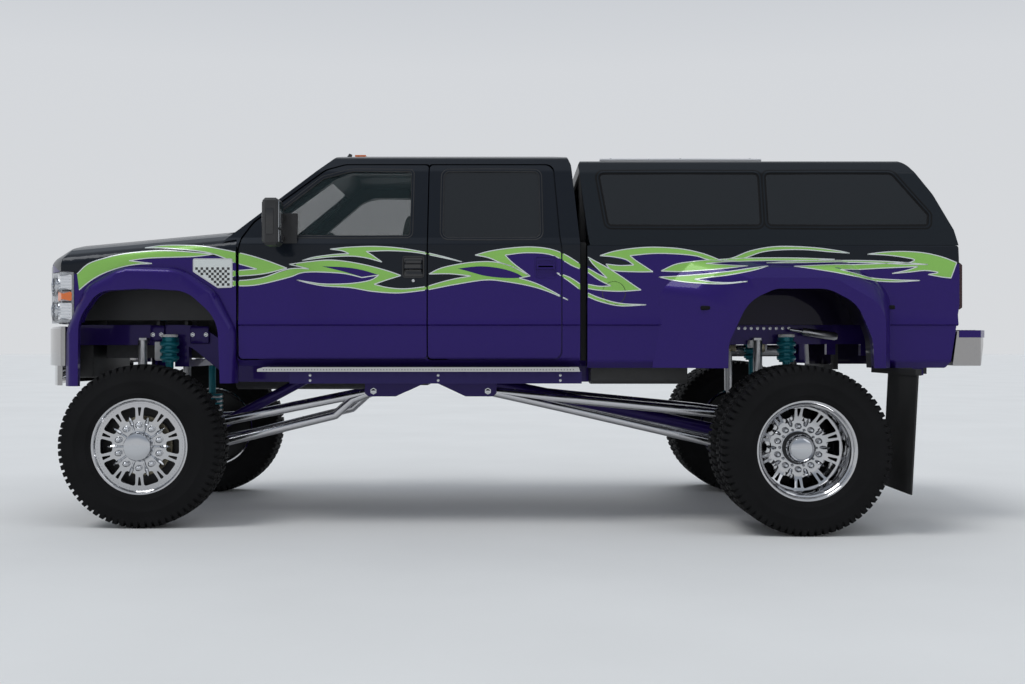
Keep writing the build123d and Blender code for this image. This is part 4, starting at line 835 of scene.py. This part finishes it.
def front_wheel(build):
    """Convex front wheel with windows, forked spokes, nuts, blades and hub cover."""
    barrel(build)
    holes = windows((0.180, 0.264, 0.033, 0.055, 0.018), (0.204, 0.262, 0.005, 0.0125, 0.006))
    pierced_disc(build, 0.085, 0.301, holes, [(0.085, 0.120), (0.176, 0.120), (0.2, 0.1185), (0.225, 0.116),
                                              (0.256, 0.112), (0.278, 0.109), (0.301, 0.107)])
    build.add(turned([(0, 0.187), (0.045, 0.186), (0.072, 0.182), (0.088, 0.173), (0.095, 0.160),
                      (0.096, 0.124), (0.103, 0.121), (0.103, 0.116), (0.08, 0.116)], 64, False), "chrome")
    for k in range(SPOKES):
        lug_nut(build, polar(LUG_RADIUS, spoke(k + 0.5)), 0.118, 0.050, 0.0195)
        spear(build, spoke(k), 0.140, 0.212, 0.128, 0.004)
        (x0, z0), (x1, z1) = polar(0.100, spoke(k)), polar(0.142, spoke(k))
        build.bar([(x0, 0.124, z0), (x1, 0.127, z1)], [0.008, 0.006], 8, "chrome")
    stud = turned([(0, 0.0035), (0.0022, 0.0025), (0.003, 0), (0.003, -0.004)], 6, False)
    for x, z in circle(0.2865, 90):
        build.add(moved(stud, (x, 0.1085, z)), "steel")
    build.add(turned([(0.075, 0.012), (0.200, 0.012), (0.200, 0.040), (0.120, 0.040), (0.115, 0.080),
                      (0.075, 0.080)], 72), "bronze")
    build.add(turned([(0.075, -0.006), (0.284, -0.006), (0.284, -0.001), (0.075, -0.001)], 72), "black_metal")


def outer_wheel(build):
    """Deep outer wheel of a rear pair."""
    barrel(build)
    build.add(turned([(0.300, 0.108), (0.289, 0.098), (0.279, 0.060), (0.2755, -0.09), (0.279, -0.09),
                      (0.287, 0.05)], 120), "alloy")
    holes = windows((0.176, 0.264, 0.033, 0.056, 0.014), (0.206, 0.262, 0.005, 0.013, 0.006))
    pierced_disc(build, 0.085, 0.290, holes, [(0.085, -0.141), (0.185, -0.141), (0.205, -0.134),
                                              (0.240, -0.120), (0.270, -0.102), (0.290, -0.098)])
    build.add(turned([(0, 0.005), (0.03, 0.003), (0.058, -0.004), (0.080, -0.016), (0.092, -0.032),
                      (0.0945, -0.055), (0.0945, -0.128), (0.112, -0.134), (0.112, -0.142)], 64, False),
              "chrome")
    build.add(turned([(0.0945, -0.118), (0.108, -0.118), (0.108, -0.141)], 48, False), "cast")
    for k in range(SPOKES):
        lug_nut(build, polar(LUG_RADIUS, spoke(k + 0.5)), -0.141, 0.045, 0.019)
        lug_nut(build, polar(0.122, spoke(k + 0.5) + 0.3), -0.141, 0.024, 0.008)
        spear(build, spoke(k), 0.146, 0.208, -0.128, 0.018)


def inner_wheel(build):
    """Plain inner wheel of a rear pair."""
    barrel(build)
    pierced_disc(build, 0.120, 0.290, windows((0.200, 0.255, 0.024, 0.034, 0.016)),
                 [(0.12, 0.166), (0.205, 0.166), (0.27, 0.128), (0.29, 0.118)])
    build.add(turned([(0.12, -0.01), (0.284, -0.01), (0.284, -0.004), (0.12, -0.004)], 72), "black_metal")


def rear_wheels(build):
    """Both wheels of one rear pair, about the pair's middle."""
    for draw, shift in ((outer_wheel, DUAL_SHIFT), (inner_wheel, -DUAL_SHIFT)):
        start = len(build.verts)
        draw(build)
        build.verts[start:] = [(x, y + shift, z) for x, y, z in build.verts[start:]]


def tyre(centre_y):
    """Heavy block tyre around the Y axis: sidewalls with ribs and a lugged tread."""
    half = (  # y, radius on a block and radius in a groove, from one bead to the middle of the tread
        (-0.108, 0.3125, 0.3125), (-0.126, 0.324, 0.324), (-0.137, 0.352, 0.352), (-0.1405, 0.358, 0.358),
        (-0.1405, 0.366, 0.366), (-0.1435, 0.392, 0.392), (-0.1455, 0.425, 0.425), (-0.1480, 0.432, 0.432),
        (-0.1480, 0.440, 0.440), (-0.1455, 0.447, 0.447), (-0.1425, 0.478, 0.478), (-0.139, 0.498, 0.492),
        (-0.1395, 0.506, 0.497), (-0.135, 0.530, 0.509), (-0.128, 0.541, 0.517), (-0.118, 0.5455, 0.525),
        (-0.062, 0.547, 0.532), (-0.058, 0.534, 0.532), (-0.048, 0.534, 0.534), (-0.044, 0.5478, 0.536),
        (-0.008, 0.548, 0.540), (-0.005, 0.536, 0.536),
    )
    rows = half + tuple((-y, block, groove) for y, block, groove in reversed(half))
    steps = ((0.0, False), (0.60, False), (0.66, True), (0.94, True))  # share of a pitch, and if in a groove
    verts = []
    for y, block, groove in rows:
        skew = (0.5 if y > 0 else 0.0) + 0.25 * abs(y) / TYRE_HALF
        for n in range(PITCHES):
            for share, low in steps:
                x, z = polar(groove if low else block, 2 * pi * (n + share + skew) / PITCHES)
                verts.append((x, centre_y + y, z))
    return verts, tube_faces(len(rows), PITCHES * len(steps))


def wheels():
    """All wheels and tyres, in place of the plain ones."""
    for name, side in SIDES:
        for x, y, draw, shifts, rim, rubber, body in (
                (FRONT_X, FRONT_Y, front_wheel, (0,), "rim_front_{}", "tyre_front_{}", "wheel_front_{}"),
                (REAR_X, REAR_Y, rear_wheels, (-DUAL_SHIFT, DUAL_SHIFT), "rims_rear_{}", "tyres_rear_{}",
                 "wheels_rear_{}")):
            place = (x, y * side, AXLE_Z)
            drawn, tread = Build(), Build()
            draw(drawn)
            drawn.verts, drawn.faces = moved(flipped((drawn.verts, drawn.faces), side), place)
            wheel = drawn.finish(f"wheel_{rim.format(name)}", body.format(name), 32)
            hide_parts(rim.format(name))
            for shift in shifts:
                tread.add(moved(flipped(tyre(shift), side), place), "tyre")
            rubber_piece = tread.finish(f"tread_{rubber.format(name)}", body.format(name), 30)
            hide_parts(rubber.format(name))


# Trim, lamps and fittings

TOPPER_PANE_X = 1.796  # between the two side windows of the topper
RAIL_Y = 0.5205  # outer face of the frame rails
LINK_Y, SPRING_Y, SPRING_BACK = 0.508, 0.622, 0.058  # link ends; springs, and how far behind the axles
FLARE_Y = 1.16  # where the bed's flares carry the marker spots


def hull_path(name, side, grow, keep=lambda v: True):
    """Outline in (x, z) of a CAD piece on one side, cut into short steps and grown outward."""
    points = sorted({(round(v.co.x, 4), round(v.co.z, 4)) for v in nodes[name].data.vertices
                     if v.co.y * side > 0 and keep(v.co)})
    hull = []
    for ordered in (points, points[::-1]):
        chain = []
        for p in ordered:
            while len(chain) > 1:
                (ax, az), (bx, bz) = chain[-2:]
                if (bx - ax) * (p[1] - az) - (bz - az) * (p[0] - ax) > 0:
                    break
                chain.pop()
            chain.append(p)
        hull += chain[:-1]
    middle = Vector([sum(values) / len(hull) for values in zip(*hull)])
    out = []
    for a, b in zip(hull, hull[1:] + hull[:1]):
        a, b = Vector(a), Vector(b)
        count = max(1, int((b - a).length / 0.02))
        out += [a + (b - a) * (k / count) for k in range(count)]
    return [p + (p - middle).normalized() * grow for p in out]


def window_trim():
    """Rubber frames around the side windows of the cab and the topper."""
    for name, side in SIDES:
        for end in ("front", "rear"):
            door, pane = f"door_{end}_{name}", f"glass_{end}_{name}"
            build, path = Build(), hull_path(pane, side, 0.006)
            moulding(build, path, 0.024, 0.003, [door, pane], side, "black_plastic", True)
            build.finish(f"window_trim_{door}", door)
        build = Build()
        for keep in (lambda v: v.x < TOPPER_PANE_X, lambda v: v.x > TOPPER_PANE_X):
            moulding(build, hull_path("topper_glass", side, 0.004, keep), 0.036, 0.0012,
                     ["topper", "topper_glass"], side, "trim_black", True)
        build.finish(f"topper_trim_{name}")


def rect(x0, z0, x1, z1, radius):
    return rounded([(x0, z0), (x1, z0), (x1, z1), (x0, z1)], radius)


def level(x0, x1, z):
    """Points along a level line at short steps."""
    return [(x, z) for x in np.arange(x0, x1, 0.02)]


def side_lamps():
    """Headlamp segments and bowls, marker spots and fuel door ring of the bed, and tail lamp segments."""
    lens = nodes["headlamps"].data
    lens = BVHTree.FromPolygons([v.co for v in lens.vertices], [p.vertices for p in lens.polygons])
    lamp, bed = ["headlamps"], ["bed"]
    for name, side in SIDES:
        build = Build()
        for z0, z1, key in ((1.602, 1.705, "reflector"), (1.526, 1.588, "amber"),
                            (1.398, 1.512, "reflector")):
            decal(build, rect(-3.036, z0, -2.916, z1, 0.012), lamp, side, 0.0012, key, spacing=0.02)
            for k in range(5 if key == "reflector" else 0):
                rib = level(-3.025, -2.925, z0 + (z1 - z0) * (k + 0.7) / 5.4)
                moulding(build, rib, 0.012, 0.004, lamp, side, "lamp_glassy", base=0.001)
        for z in (1.519, 1.595):
            moulding(build, level(-3.04, -2.905, z), 0.010, 0.002, lamp, side, "gloss_black")
        for y, z, r in ((0.735, 1.63, 0.070), (0.735, 1.46, 0.074), (0.885, 1.63, 0.062),
                        (0.885, 1.46, 0.062)):
            face = lens.ray_cast(Vector((-4, y * side, z)), Vector((1, 0, 0)))[0]
            cup, faces = turned([(r, 0), (r * 0.98, -0.006), (r * 0.72, -0.038), (r * 0.26, -0.056),
                                 (r * 0.2, -0.03), (0.0, -0.026)], 32, False)
            cup = [(face.x + 0.012 - v[1], v[0] + y * side, v[2] + z) for v in cup]
            build.add((cup, faces), "chrome")
        build.finish(f"headlamp_parts_{name}")

        build = Build()
        for spot in ((705.5, 308), (893, 307)):
            x, z = plan(*spot, -FLARE_Y)
            y = skin(bed, side, x, z, 0.0).y
            build.box((x - 0.035, x + 0.035), (y - 0.012, y + 0.012), (z - 0.014, z + 0.014), 0.008,
                      "trim_black")
        if side < 0:
            ring = circle(0.078, 60, *plan(614, 293))
            moulding(build, ring, 0.005, 0.0006, bed, side, "gloss_black", True)
        build.finish(f"bed_fittings_{name}")

        build = Build()
        y = (0.824, 0.980)
        for z0, z1, key in ((1.705, 1.765, "red"), (1.585, 1.695, "red"), (1.49, 1.575, "reflector")):
            build.box((3.1285, 3.1335), y, (z0, z1), 0.002, key, side)
        for k in range(14):
            z = 1.492 + k * 0.0205
            build.box((3.132, 3.1355), y, (z, z + 0.003), 0.001, "smoke", side)
        build.finish(f"tail_lamp_parts_{name}")


def px_shape(points, radius):
    """Outline drawn in the photograph's pixels, with rounded corners."""
    return rounded([plan(x, y) for x, y in points], radius)


def badge_plates():
    """Pierced silver plates on both front fenders; they carry no lettering."""
    pitch, half = 2.65, 1.3
    for name, side in SIDES:
        build = Build()
        plate = px_shape([(193.5, 259), (232, 259), (232, 287), (218, 287.5), (193.5, 271.5)], 0.008)
        decal(build, plate, ["fenders"], side, 0.004, "silver", spacing=0.01)
        moulding(build, plate, 0.010, 0.004, ["fenders"], side, "chrome", True)
        for row, column in np.ndindex(7, 13):
            x, y = 196.6 + column * pitch, 268.6 + row * pitch
            if (row + column) % 2 or y > 270 + (x - 194) * 0.62 or x > 230.2:
                continue
            hole = px_shape([(x - half, y - half), (x + half, y - half), (x + half, y + half),
                             (x - half, y + half)], 0.002)
            decal(build, hole, ["fenders"], side, 0.0046, "gloss_black", spacing=0.02)
        build.finish(f"fender_plate_{name}")


def door_fittings():
    """Door handles with their frames, key locks and mirror glass; the front handles' recess carries a gloss
    black patch of painted shade.
    """
    lock = turned([(0, 0.006), (0.010, 0.005), (0.013, 0.0), (0.013, -0.006)], 20, False)
    for name, side in SIDES:
        for end, x, frame_key, grip_key in (("front", -0.598, "black_plastic", "gloss_black"),
                                            ("rear", 0.300, "violet", "violet")):
            door = f"door_{end}_{name}"
            build = Build()
            if end == "front":
                # Gloss black patch over the front handle's recess floor: painted shade in the recess.
                recess_shade_patch = rect(x - 0.063, 1.693, x + 0.063, 1.819, 0.012)
                decal(build, recess_shade_patch, [door], side, 0.001, "gloss_black")
            edge = rect(x - 0.07, 1.686, x + 0.07, 1.826, 0.016)
            moulding(build, edge, 0.010, 0.004, [door], side, frame_key, True)
            build.box((x - 0.058, x + 0.058), (1.008, 1.028), (1.744, 1.771), 0.008, grip_key, side, 3)
            if end == "front":
                build.add(flipped(moved(lock, (x, 1.014, 1.662)), side), "chrome")
            build.finish(f"door_handle_{end}_{name}", door)
        build = Build()
        for z in ((1.995, 2.168), (1.902, 1.982)):
            build.box((-1.456, -1.451), (1.168, 1.312), z, 0.002, "chrome", side)
        build.box((-1.566, -1.552), (1.172, 1.31), (1.905, 2.165), 0.006, "gloss_black", side)
        build.box((-1.535, -1.485), (1.322, 1.334), (1.95, 2.12), 0.004, "gloss_black", side)
        build.finish(f"mirror_glass_{name}", f"door_front_{name}")


def seat_pads():
    """Stuffed cushions, backs and head rests on plinths, in place of the plain seats."""
    built = []
    for row, x0, x1, spans in ((0, -1.150, -0.640, ((-0.760, -0.190), (0.190, 0.760))),
                               (1, -0.150, 0.330, ((-0.760, -0.258), (-0.250, 0.250), (0.258, 0.760)))):
        for i, (y0, y1) in enumerate(spans):
            build = Build()
            build.add(pillow((x0, y0, 1.475), (x1 - 0.03, y1, 1.62), 0.30), "leather")
            for share in (0.34, 0.66):
                y = y0 + (y1 - y0) * share
                build.bar([(x0 + 0.05, y, 1.6205), (x0 + 0.2, y, 1.6235), (x1 - 0.15, y, 1.6215)], 0.0035, 6,
                          "leather")
            back, faces = pillow((-0.07, y0 + 0.02, 0.0), (0.07, y1 - 0.02, 0.56), 0.30)
            back = [(v[0] + x1 - 0.05 + v[2] * 0.135, v[1], v[2] + 1.585) for v in back]
            build.add((back, faces), "leather")
            mid = (y0 + y1) / 2
            if row == 0 or i != 1:
                build.add(pillow((x1 - 0.005, mid - 0.125, 2.155), (x1 + 0.08, mid + 0.125, 2.296), 0.42),
                          "leather")
                for y in (mid - 0.05, mid + 0.05):
                    build.bar([(x1 + 0.02, y, 2.10), (x1 + 0.035, y, 2.18)], 0.006, 8, "chrome")
            piece = build.finish(f"seat_{row}_{i}", "chassis", 60)
            built.append(piece)
    build = Build()
    for x, y in (((-1.14, -0.66), (-0.74, -0.21)), ((-1.14, -0.66), (0.21, 0.74)),
                 ((-0.14, 0.31), (-0.75, 0.75))):
        build.box(x, y, (1.2155, 1.49), 0.03, "black_plastic", segments=3)
    base = build.finish("seat_plinths")
    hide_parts("seats")
    for piece in built:
        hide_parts("seats")


def cabin_fittings():
    """Instrument hood, two screens, air vents and pedals."""
    build = Build()
    build.box((-1.43, -1.385), (-0.66, -0.25), (1.875, 1.952), 0.012, "black_plastic")
    build.box((-1.392, -1.3865), (-0.62, -0.29), (1.86, 1.93), 0.002, "gloss_black")
    build.box((-1.405, -1.3945), (-0.14, 0.14), (1.70, 1.88), 0.004, "gloss_black")
    for y in (-0.78, -0.19, 0.19, 0.72):
        for z in (1.80, 1.818, 1.836, 1.854):
            build.box((-1.398, -1.392), (y - 0.05, y + 0.05), (z, z + 0.008), 0.001, "satin")
    for y in (-0.62, -0.47, -0.33):
        build.box((-1.44, -1.43), (y - 0.035, y + 0.035), (1.30, 1.39), 0.004, "rubber")
        build.bar([(-1.445, y, 1.34), (-1.50, y, 1.56)], 0.008, 8, "black_metal")
    build.finish("cabin_fittings")


def roof_fittings():
    """Rails and rear lamp on the topper's roof, and the antenna on the cab's."""
    build = Build()
    z = 2.543
    for y in (-0.52, 0.52):
        build.box((0.70, 1.86), (y - 0.02, y + 0.02), (z, z + 0.020), 0.006, "satin")
        for x in (0.78, 1.28, 1.78):
            build.bolt((x, y, z + 0.019), (0, 0, 1), 0.008, 0.006)
    build.box((2.62, 2.74), (-0.09, 0.09), (2.515, 2.545), 0.010, "smoke")
    build.finish("topper_rails")
    build = Build()
    build.bar([(-1.12, -0.42, 2.565), (-1.10, -0.42, 2.612)], [0.022, 0.012], 16, "gloss_black")
    build.finish("roof_antenna")


def flat_ring(radius, thick, steps):
    """Ring lying flat around the Z axis, twice as high as wide."""
    section = [(radius + u * 0.5, w) for u, w in circle(thick, 8)]
    verts = [(r * x, r * y, z) for x, y in circle(1.0, steps) for r, z in section]
    return verts, tube_faces(steps, 8)


def chassis_fittings():
    """Link-end bolts, and the collars, rings and caps around the springs."""
    build = Build()
    for side in (-1, 1):
        for x in (-0.925, -0.102):
            build.bolt((x, side * LINK_Y, 0.894), (0, side, 0), 0.018, 0.012)
        for axle in (FRONT_X, REAR_X):
            rings = [(0.060, 0.016, 28, 1.135 + k * 0.05, "teal") for k in range(3)]
            rings += [(0.082, 0.012, 32, 0.665 + k * 0.036, "steel") for k in range(5)]
            for radius, thick, steps, z, key in rings + [(0.054, 0.010, 28, 1.292, "white_plastic")]:
                place = (axle + SPRING_BACK, side * SPRING_Y, z)
                build.add(moved(flat_ring(radius, thick, steps), place), key)
    build.finish("chassis_fittings")


def step_boards():
    """Pierced edges, treads and bolts of the running boards."""
    for name, side in SIDES:
        build = Build()
        for k in range(104):
            x = -1.60 + k * 0.0202
            build.box((x, x + 0.006), (1.0945, 1.0972), (1.057, 1.063), 0.0008, "gloss_black", side, 1)
        for y in (0.952, 0.986, 1.020, 1.054):
            build.box((-1.56, 0.46), (y, y + 0.016), (1.071, 1.0785), 0.003, "rubber", side)
        for x in (-1.30, -0.43, 0.40):
            for z in (0.985, 1.02):
                build.bolt((x, side * 1.0005, z), (0, side, 0), 0.007, 0.005)
        build.finish(f"step_board_details_{name}")


def cab_gap_shade_sheets():
    """Dark rubber sheets that fill the gap between cab and bed; they are painted shade standing in for the
    shade that falls in that gap.
    """
    build = Build()
    x = (0.5365, 0.5815)
    for side in (-1, 1):
        build.box(x, (0.80, 0.93), (1.12, 1.93), 0.006, "rubber", side)
        build.box(x, (0.72, 0.84), (1.93, 2.42), 0.006, "rubber", side)
    build.box(x, (-0.72, 0.72), (2.36, 2.42), 0.006, "rubber")
    build.finish("cab_bed_shade_sheet")


def arch_fittings():
    """Small dampers, brackets, canisters and bolts seen in the wheel arches, and the radiator skirt."""
    build = Build()
    build.box((-3.10, -2.965), (-0.43, 0.43), (0.99, 1.36), 0.012, "black_metal")
    for side in (-1, 1):
        y = side * 0.60
        build.bar([(-2.52, y, 1.425), (-2.47, y, 1.428)], 0.011, 12, "chrome")
        build.bar([(-2.475, y, 1.428), (-2.465, y, 1.428), (-2.20, y, 1.434), (-2.185, y, 1.434)],
                  [0.018, 0.024, 0.024, 0.018], 20, "steel")
        build.bar([(-2.43, y, 1.429), (-2.39, y, 1.430)], 0.030, 20, "teal")
        for x in (-2.44, -2.24):
            build.box((x - 0.012, x + 0.012), (0.50, 0.625), (1.366, 1.415), 0.004, "black_metal", side)
        build.box((-2.478, -2.425), (RAIL_Y, 0.59), (1.115, 1.25), 0.010, "white_plastic", side)
        build.box((-2.52, -2.42), (RAIL_Y, 0.548), (1.255, 1.368), 0.008, "frame_violet", side)
        build.box((-2.235, -2.10), (RAIL_Y, 0.548), (1.235, 1.362), 0.008, "frame_violet", side)
        for x in (-2.50, -2.44, -2.215, -2.12):
            build.bolt((x, side * 0.548, 1.30), (0, side, 0), 0.012, 0.009)
        build.bar([(2.135, y, 1.322), (2.15, y, 1.320), (2.37, y, 1.288), (2.385, y, 1.286)],
                  [0.020, 0.028, 0.028, 0.020], 20, "steel")
        build.bar([(2.05, y, 1.335), (2.14, y, 1.322)], 0.011, 12, "chrome")
        for x, z in ((2.18, 1.316), (2.34, 1.292)):
            build.box((x - 0.012, x + 0.012), (RAIL_Y, 0.60), (z - 0.02, z + 0.02), 0.004, "black_metal",
                      side)
        build.box((1.76, 1.815), (RAIL_Y, 0.60), (1.205, 1.262), 0.010, "white_plastic", side)
        build.box((1.816, 1.875), (RAIL_Y, 0.60), (1.175, 1.235), 0.010, "bronze", side)
        for k in range(9):
            build.bolt((1.70 + k * 0.045, side * RAIL_Y, 1.345), (0, side, 0), 0.008, 0.006)
    build.finish("arch_fittings")


def bumper_fittings():
    """Rear bumper's coloured caps, treads, blank plate and hitch pin, front tow hooks and tailgate grip."""
    build = Build()
    edge = [(3.108, 0.345), (3.108, 1.0025), (3.2555, 1.0025), (3.3262, 0.8815), (3.3262, 0.345)]
    count = len(edge)
    cap = [(x, y, z) for z in (1.277, 1.3265) for x, y in edge]
    faces = [f[::-1] for f in grid_faces(2, count)]
    faces += [tuple(range(count)), tuple(reversed(range(count, 2 * count)))]
    for side in (-1, 1):
        build.add(flipped((cap, faces), side), "violet")
        for x in (3.15, 3.177, 3.204, 3.231, 3.258):
            build.box((x, x + 0.010), (0.375, 0.87), (1.326, 1.3295), 0.001, "rubber", side)
        y = side * 0.36
        hook = [(-3.14, y, 1.02), (-3.21, y, 1.00), (-3.235, y, 1.03), (-3.20, y, 1.05)]
        build.bar(hook, 0.012, 12, "chrome")
    build.box((3.145, 3.315), (-0.325, 0.325), (1.2925, 1.2975), 0.002, "rubber")
    build.box((3.2575, 3.2605), (-0.155, 0.155), (1.115, 1.27), 0.002, "satin")
    for y in (-0.12, 0.12):
        build.bolt((3.2605, y, 1.25), (1, 0, 0), 0.006, 0.004)
    build.bar([(3.160, -0.055, 1.0455), (3.160, 0.050, 1.0455)], 0.0078, 12, "chrome")
    build.finish("bumper_fittings")
    build = Build()
    build.box((3.0985, 3.1085), (-0.088, 0.088), (1.768, 1.786), 0.005, "gloss_black")
    build.finish("tailgate_grip", "tailgate")


# Camera, floor and light


def stage_and_camera():
    """Camera of the photograph, a pale floor that runs into the sky, and soft studio light."""
    sensor, reach = 36.0, 150.0
    cam_data = bpy.data.cameras.new("camera")
    cam = into_scene("camera", cam_data)
    cam_data.sensor_width = sensor
    cam_data.lens = sensor * FOCAL_PX / PHOTO[0]
    cam_data.shift_y = (HORIZON_ROW - PHOTO[1] / 2) / PHOTO[0]
    cam_data.clip_end = 400.0
    cam.location = CAMERA
    cam.rotation_euler = (radians(90), 0, 0)
    bpy.context.scene.camera = cam

    floor_mesh = bpy.data.meshes.new("floor")
    corners = [(-reach, -reach, 0), (reach, -reach, 0), (reach, reach, 0), (-reach, reach, 0)]
    floor_mesh.from_pydata(corners, [], [(0, 1, 2, 3)])
    floor = into_scene("floor", floor_mesh)
    mat = new_material("floor", (0.76, 0.76, 0.75), 0.0, 0.85)
    ramp_to(mat, object_noise(mat, 0.6, 5.0), "Fac", [(0.3, (0.75, 0.75, 0.735)), (0.7, (0.79, 0.79, 0.775))],
            "Base Color")
    floor_mesh.materials.append(mat)

    world = bpy.data.worlds.new("world")
    bpy.context.scene.world = world
    world.use_nodes = True
    background = world.node_tree.nodes["Background"]
    coords = add(world, "ShaderNodeTexCoord")
    split = add(world, "ShaderNodeSeparateXYZ")
    ramp = add(world, "ShaderNodeValToRGB")
    link(world, coords, "Generated", split, "Vector")
    link(world, split, "Z", ramp, "Fac")
    link(world, ramp, "Color", background, "Color")
    set_stops(ramp, [(0.0, (0.685, 0.70, 0.72)), (0.22, (0.66, 0.68, 0.71)), (0.50, (0.36, 0.40, 0.46)),
                     (1.0, (0.56, 0.60, 0.66))])
    set_inputs(background, Strength=1.0)

    for name, place, spread, power in (("key", (-6, -4.5, 13), 25, 0.9), ("fill", (7, -5, 8), 40, 0.25),
                                       ("rim", (1, 9, 9), 40, 0.3)):
        data = bpy.data.lights.new(name, "SUN")
        data.energy, data.angle = power, radians(spread)
        lamp = into_scene(name, data)
        lamp.location = place
        lamp.rotation_euler = (-Vector(place)).to_track_quat("-Z", "Y").to_euler()
    bpy.context.scene.view_settings.view_transform = "Standard"


for draw in (stripes, wheels, window_trim, side_lamps, badge_plates, door_fittings, seat_pads, cabin_fittings,
             roof_fittings, chassis_fittings, step_boards, arch_fittings, cab_gap_shade_sheets, bumper_fittings,
             smooth_panels, stage_and_camera):
    draw()
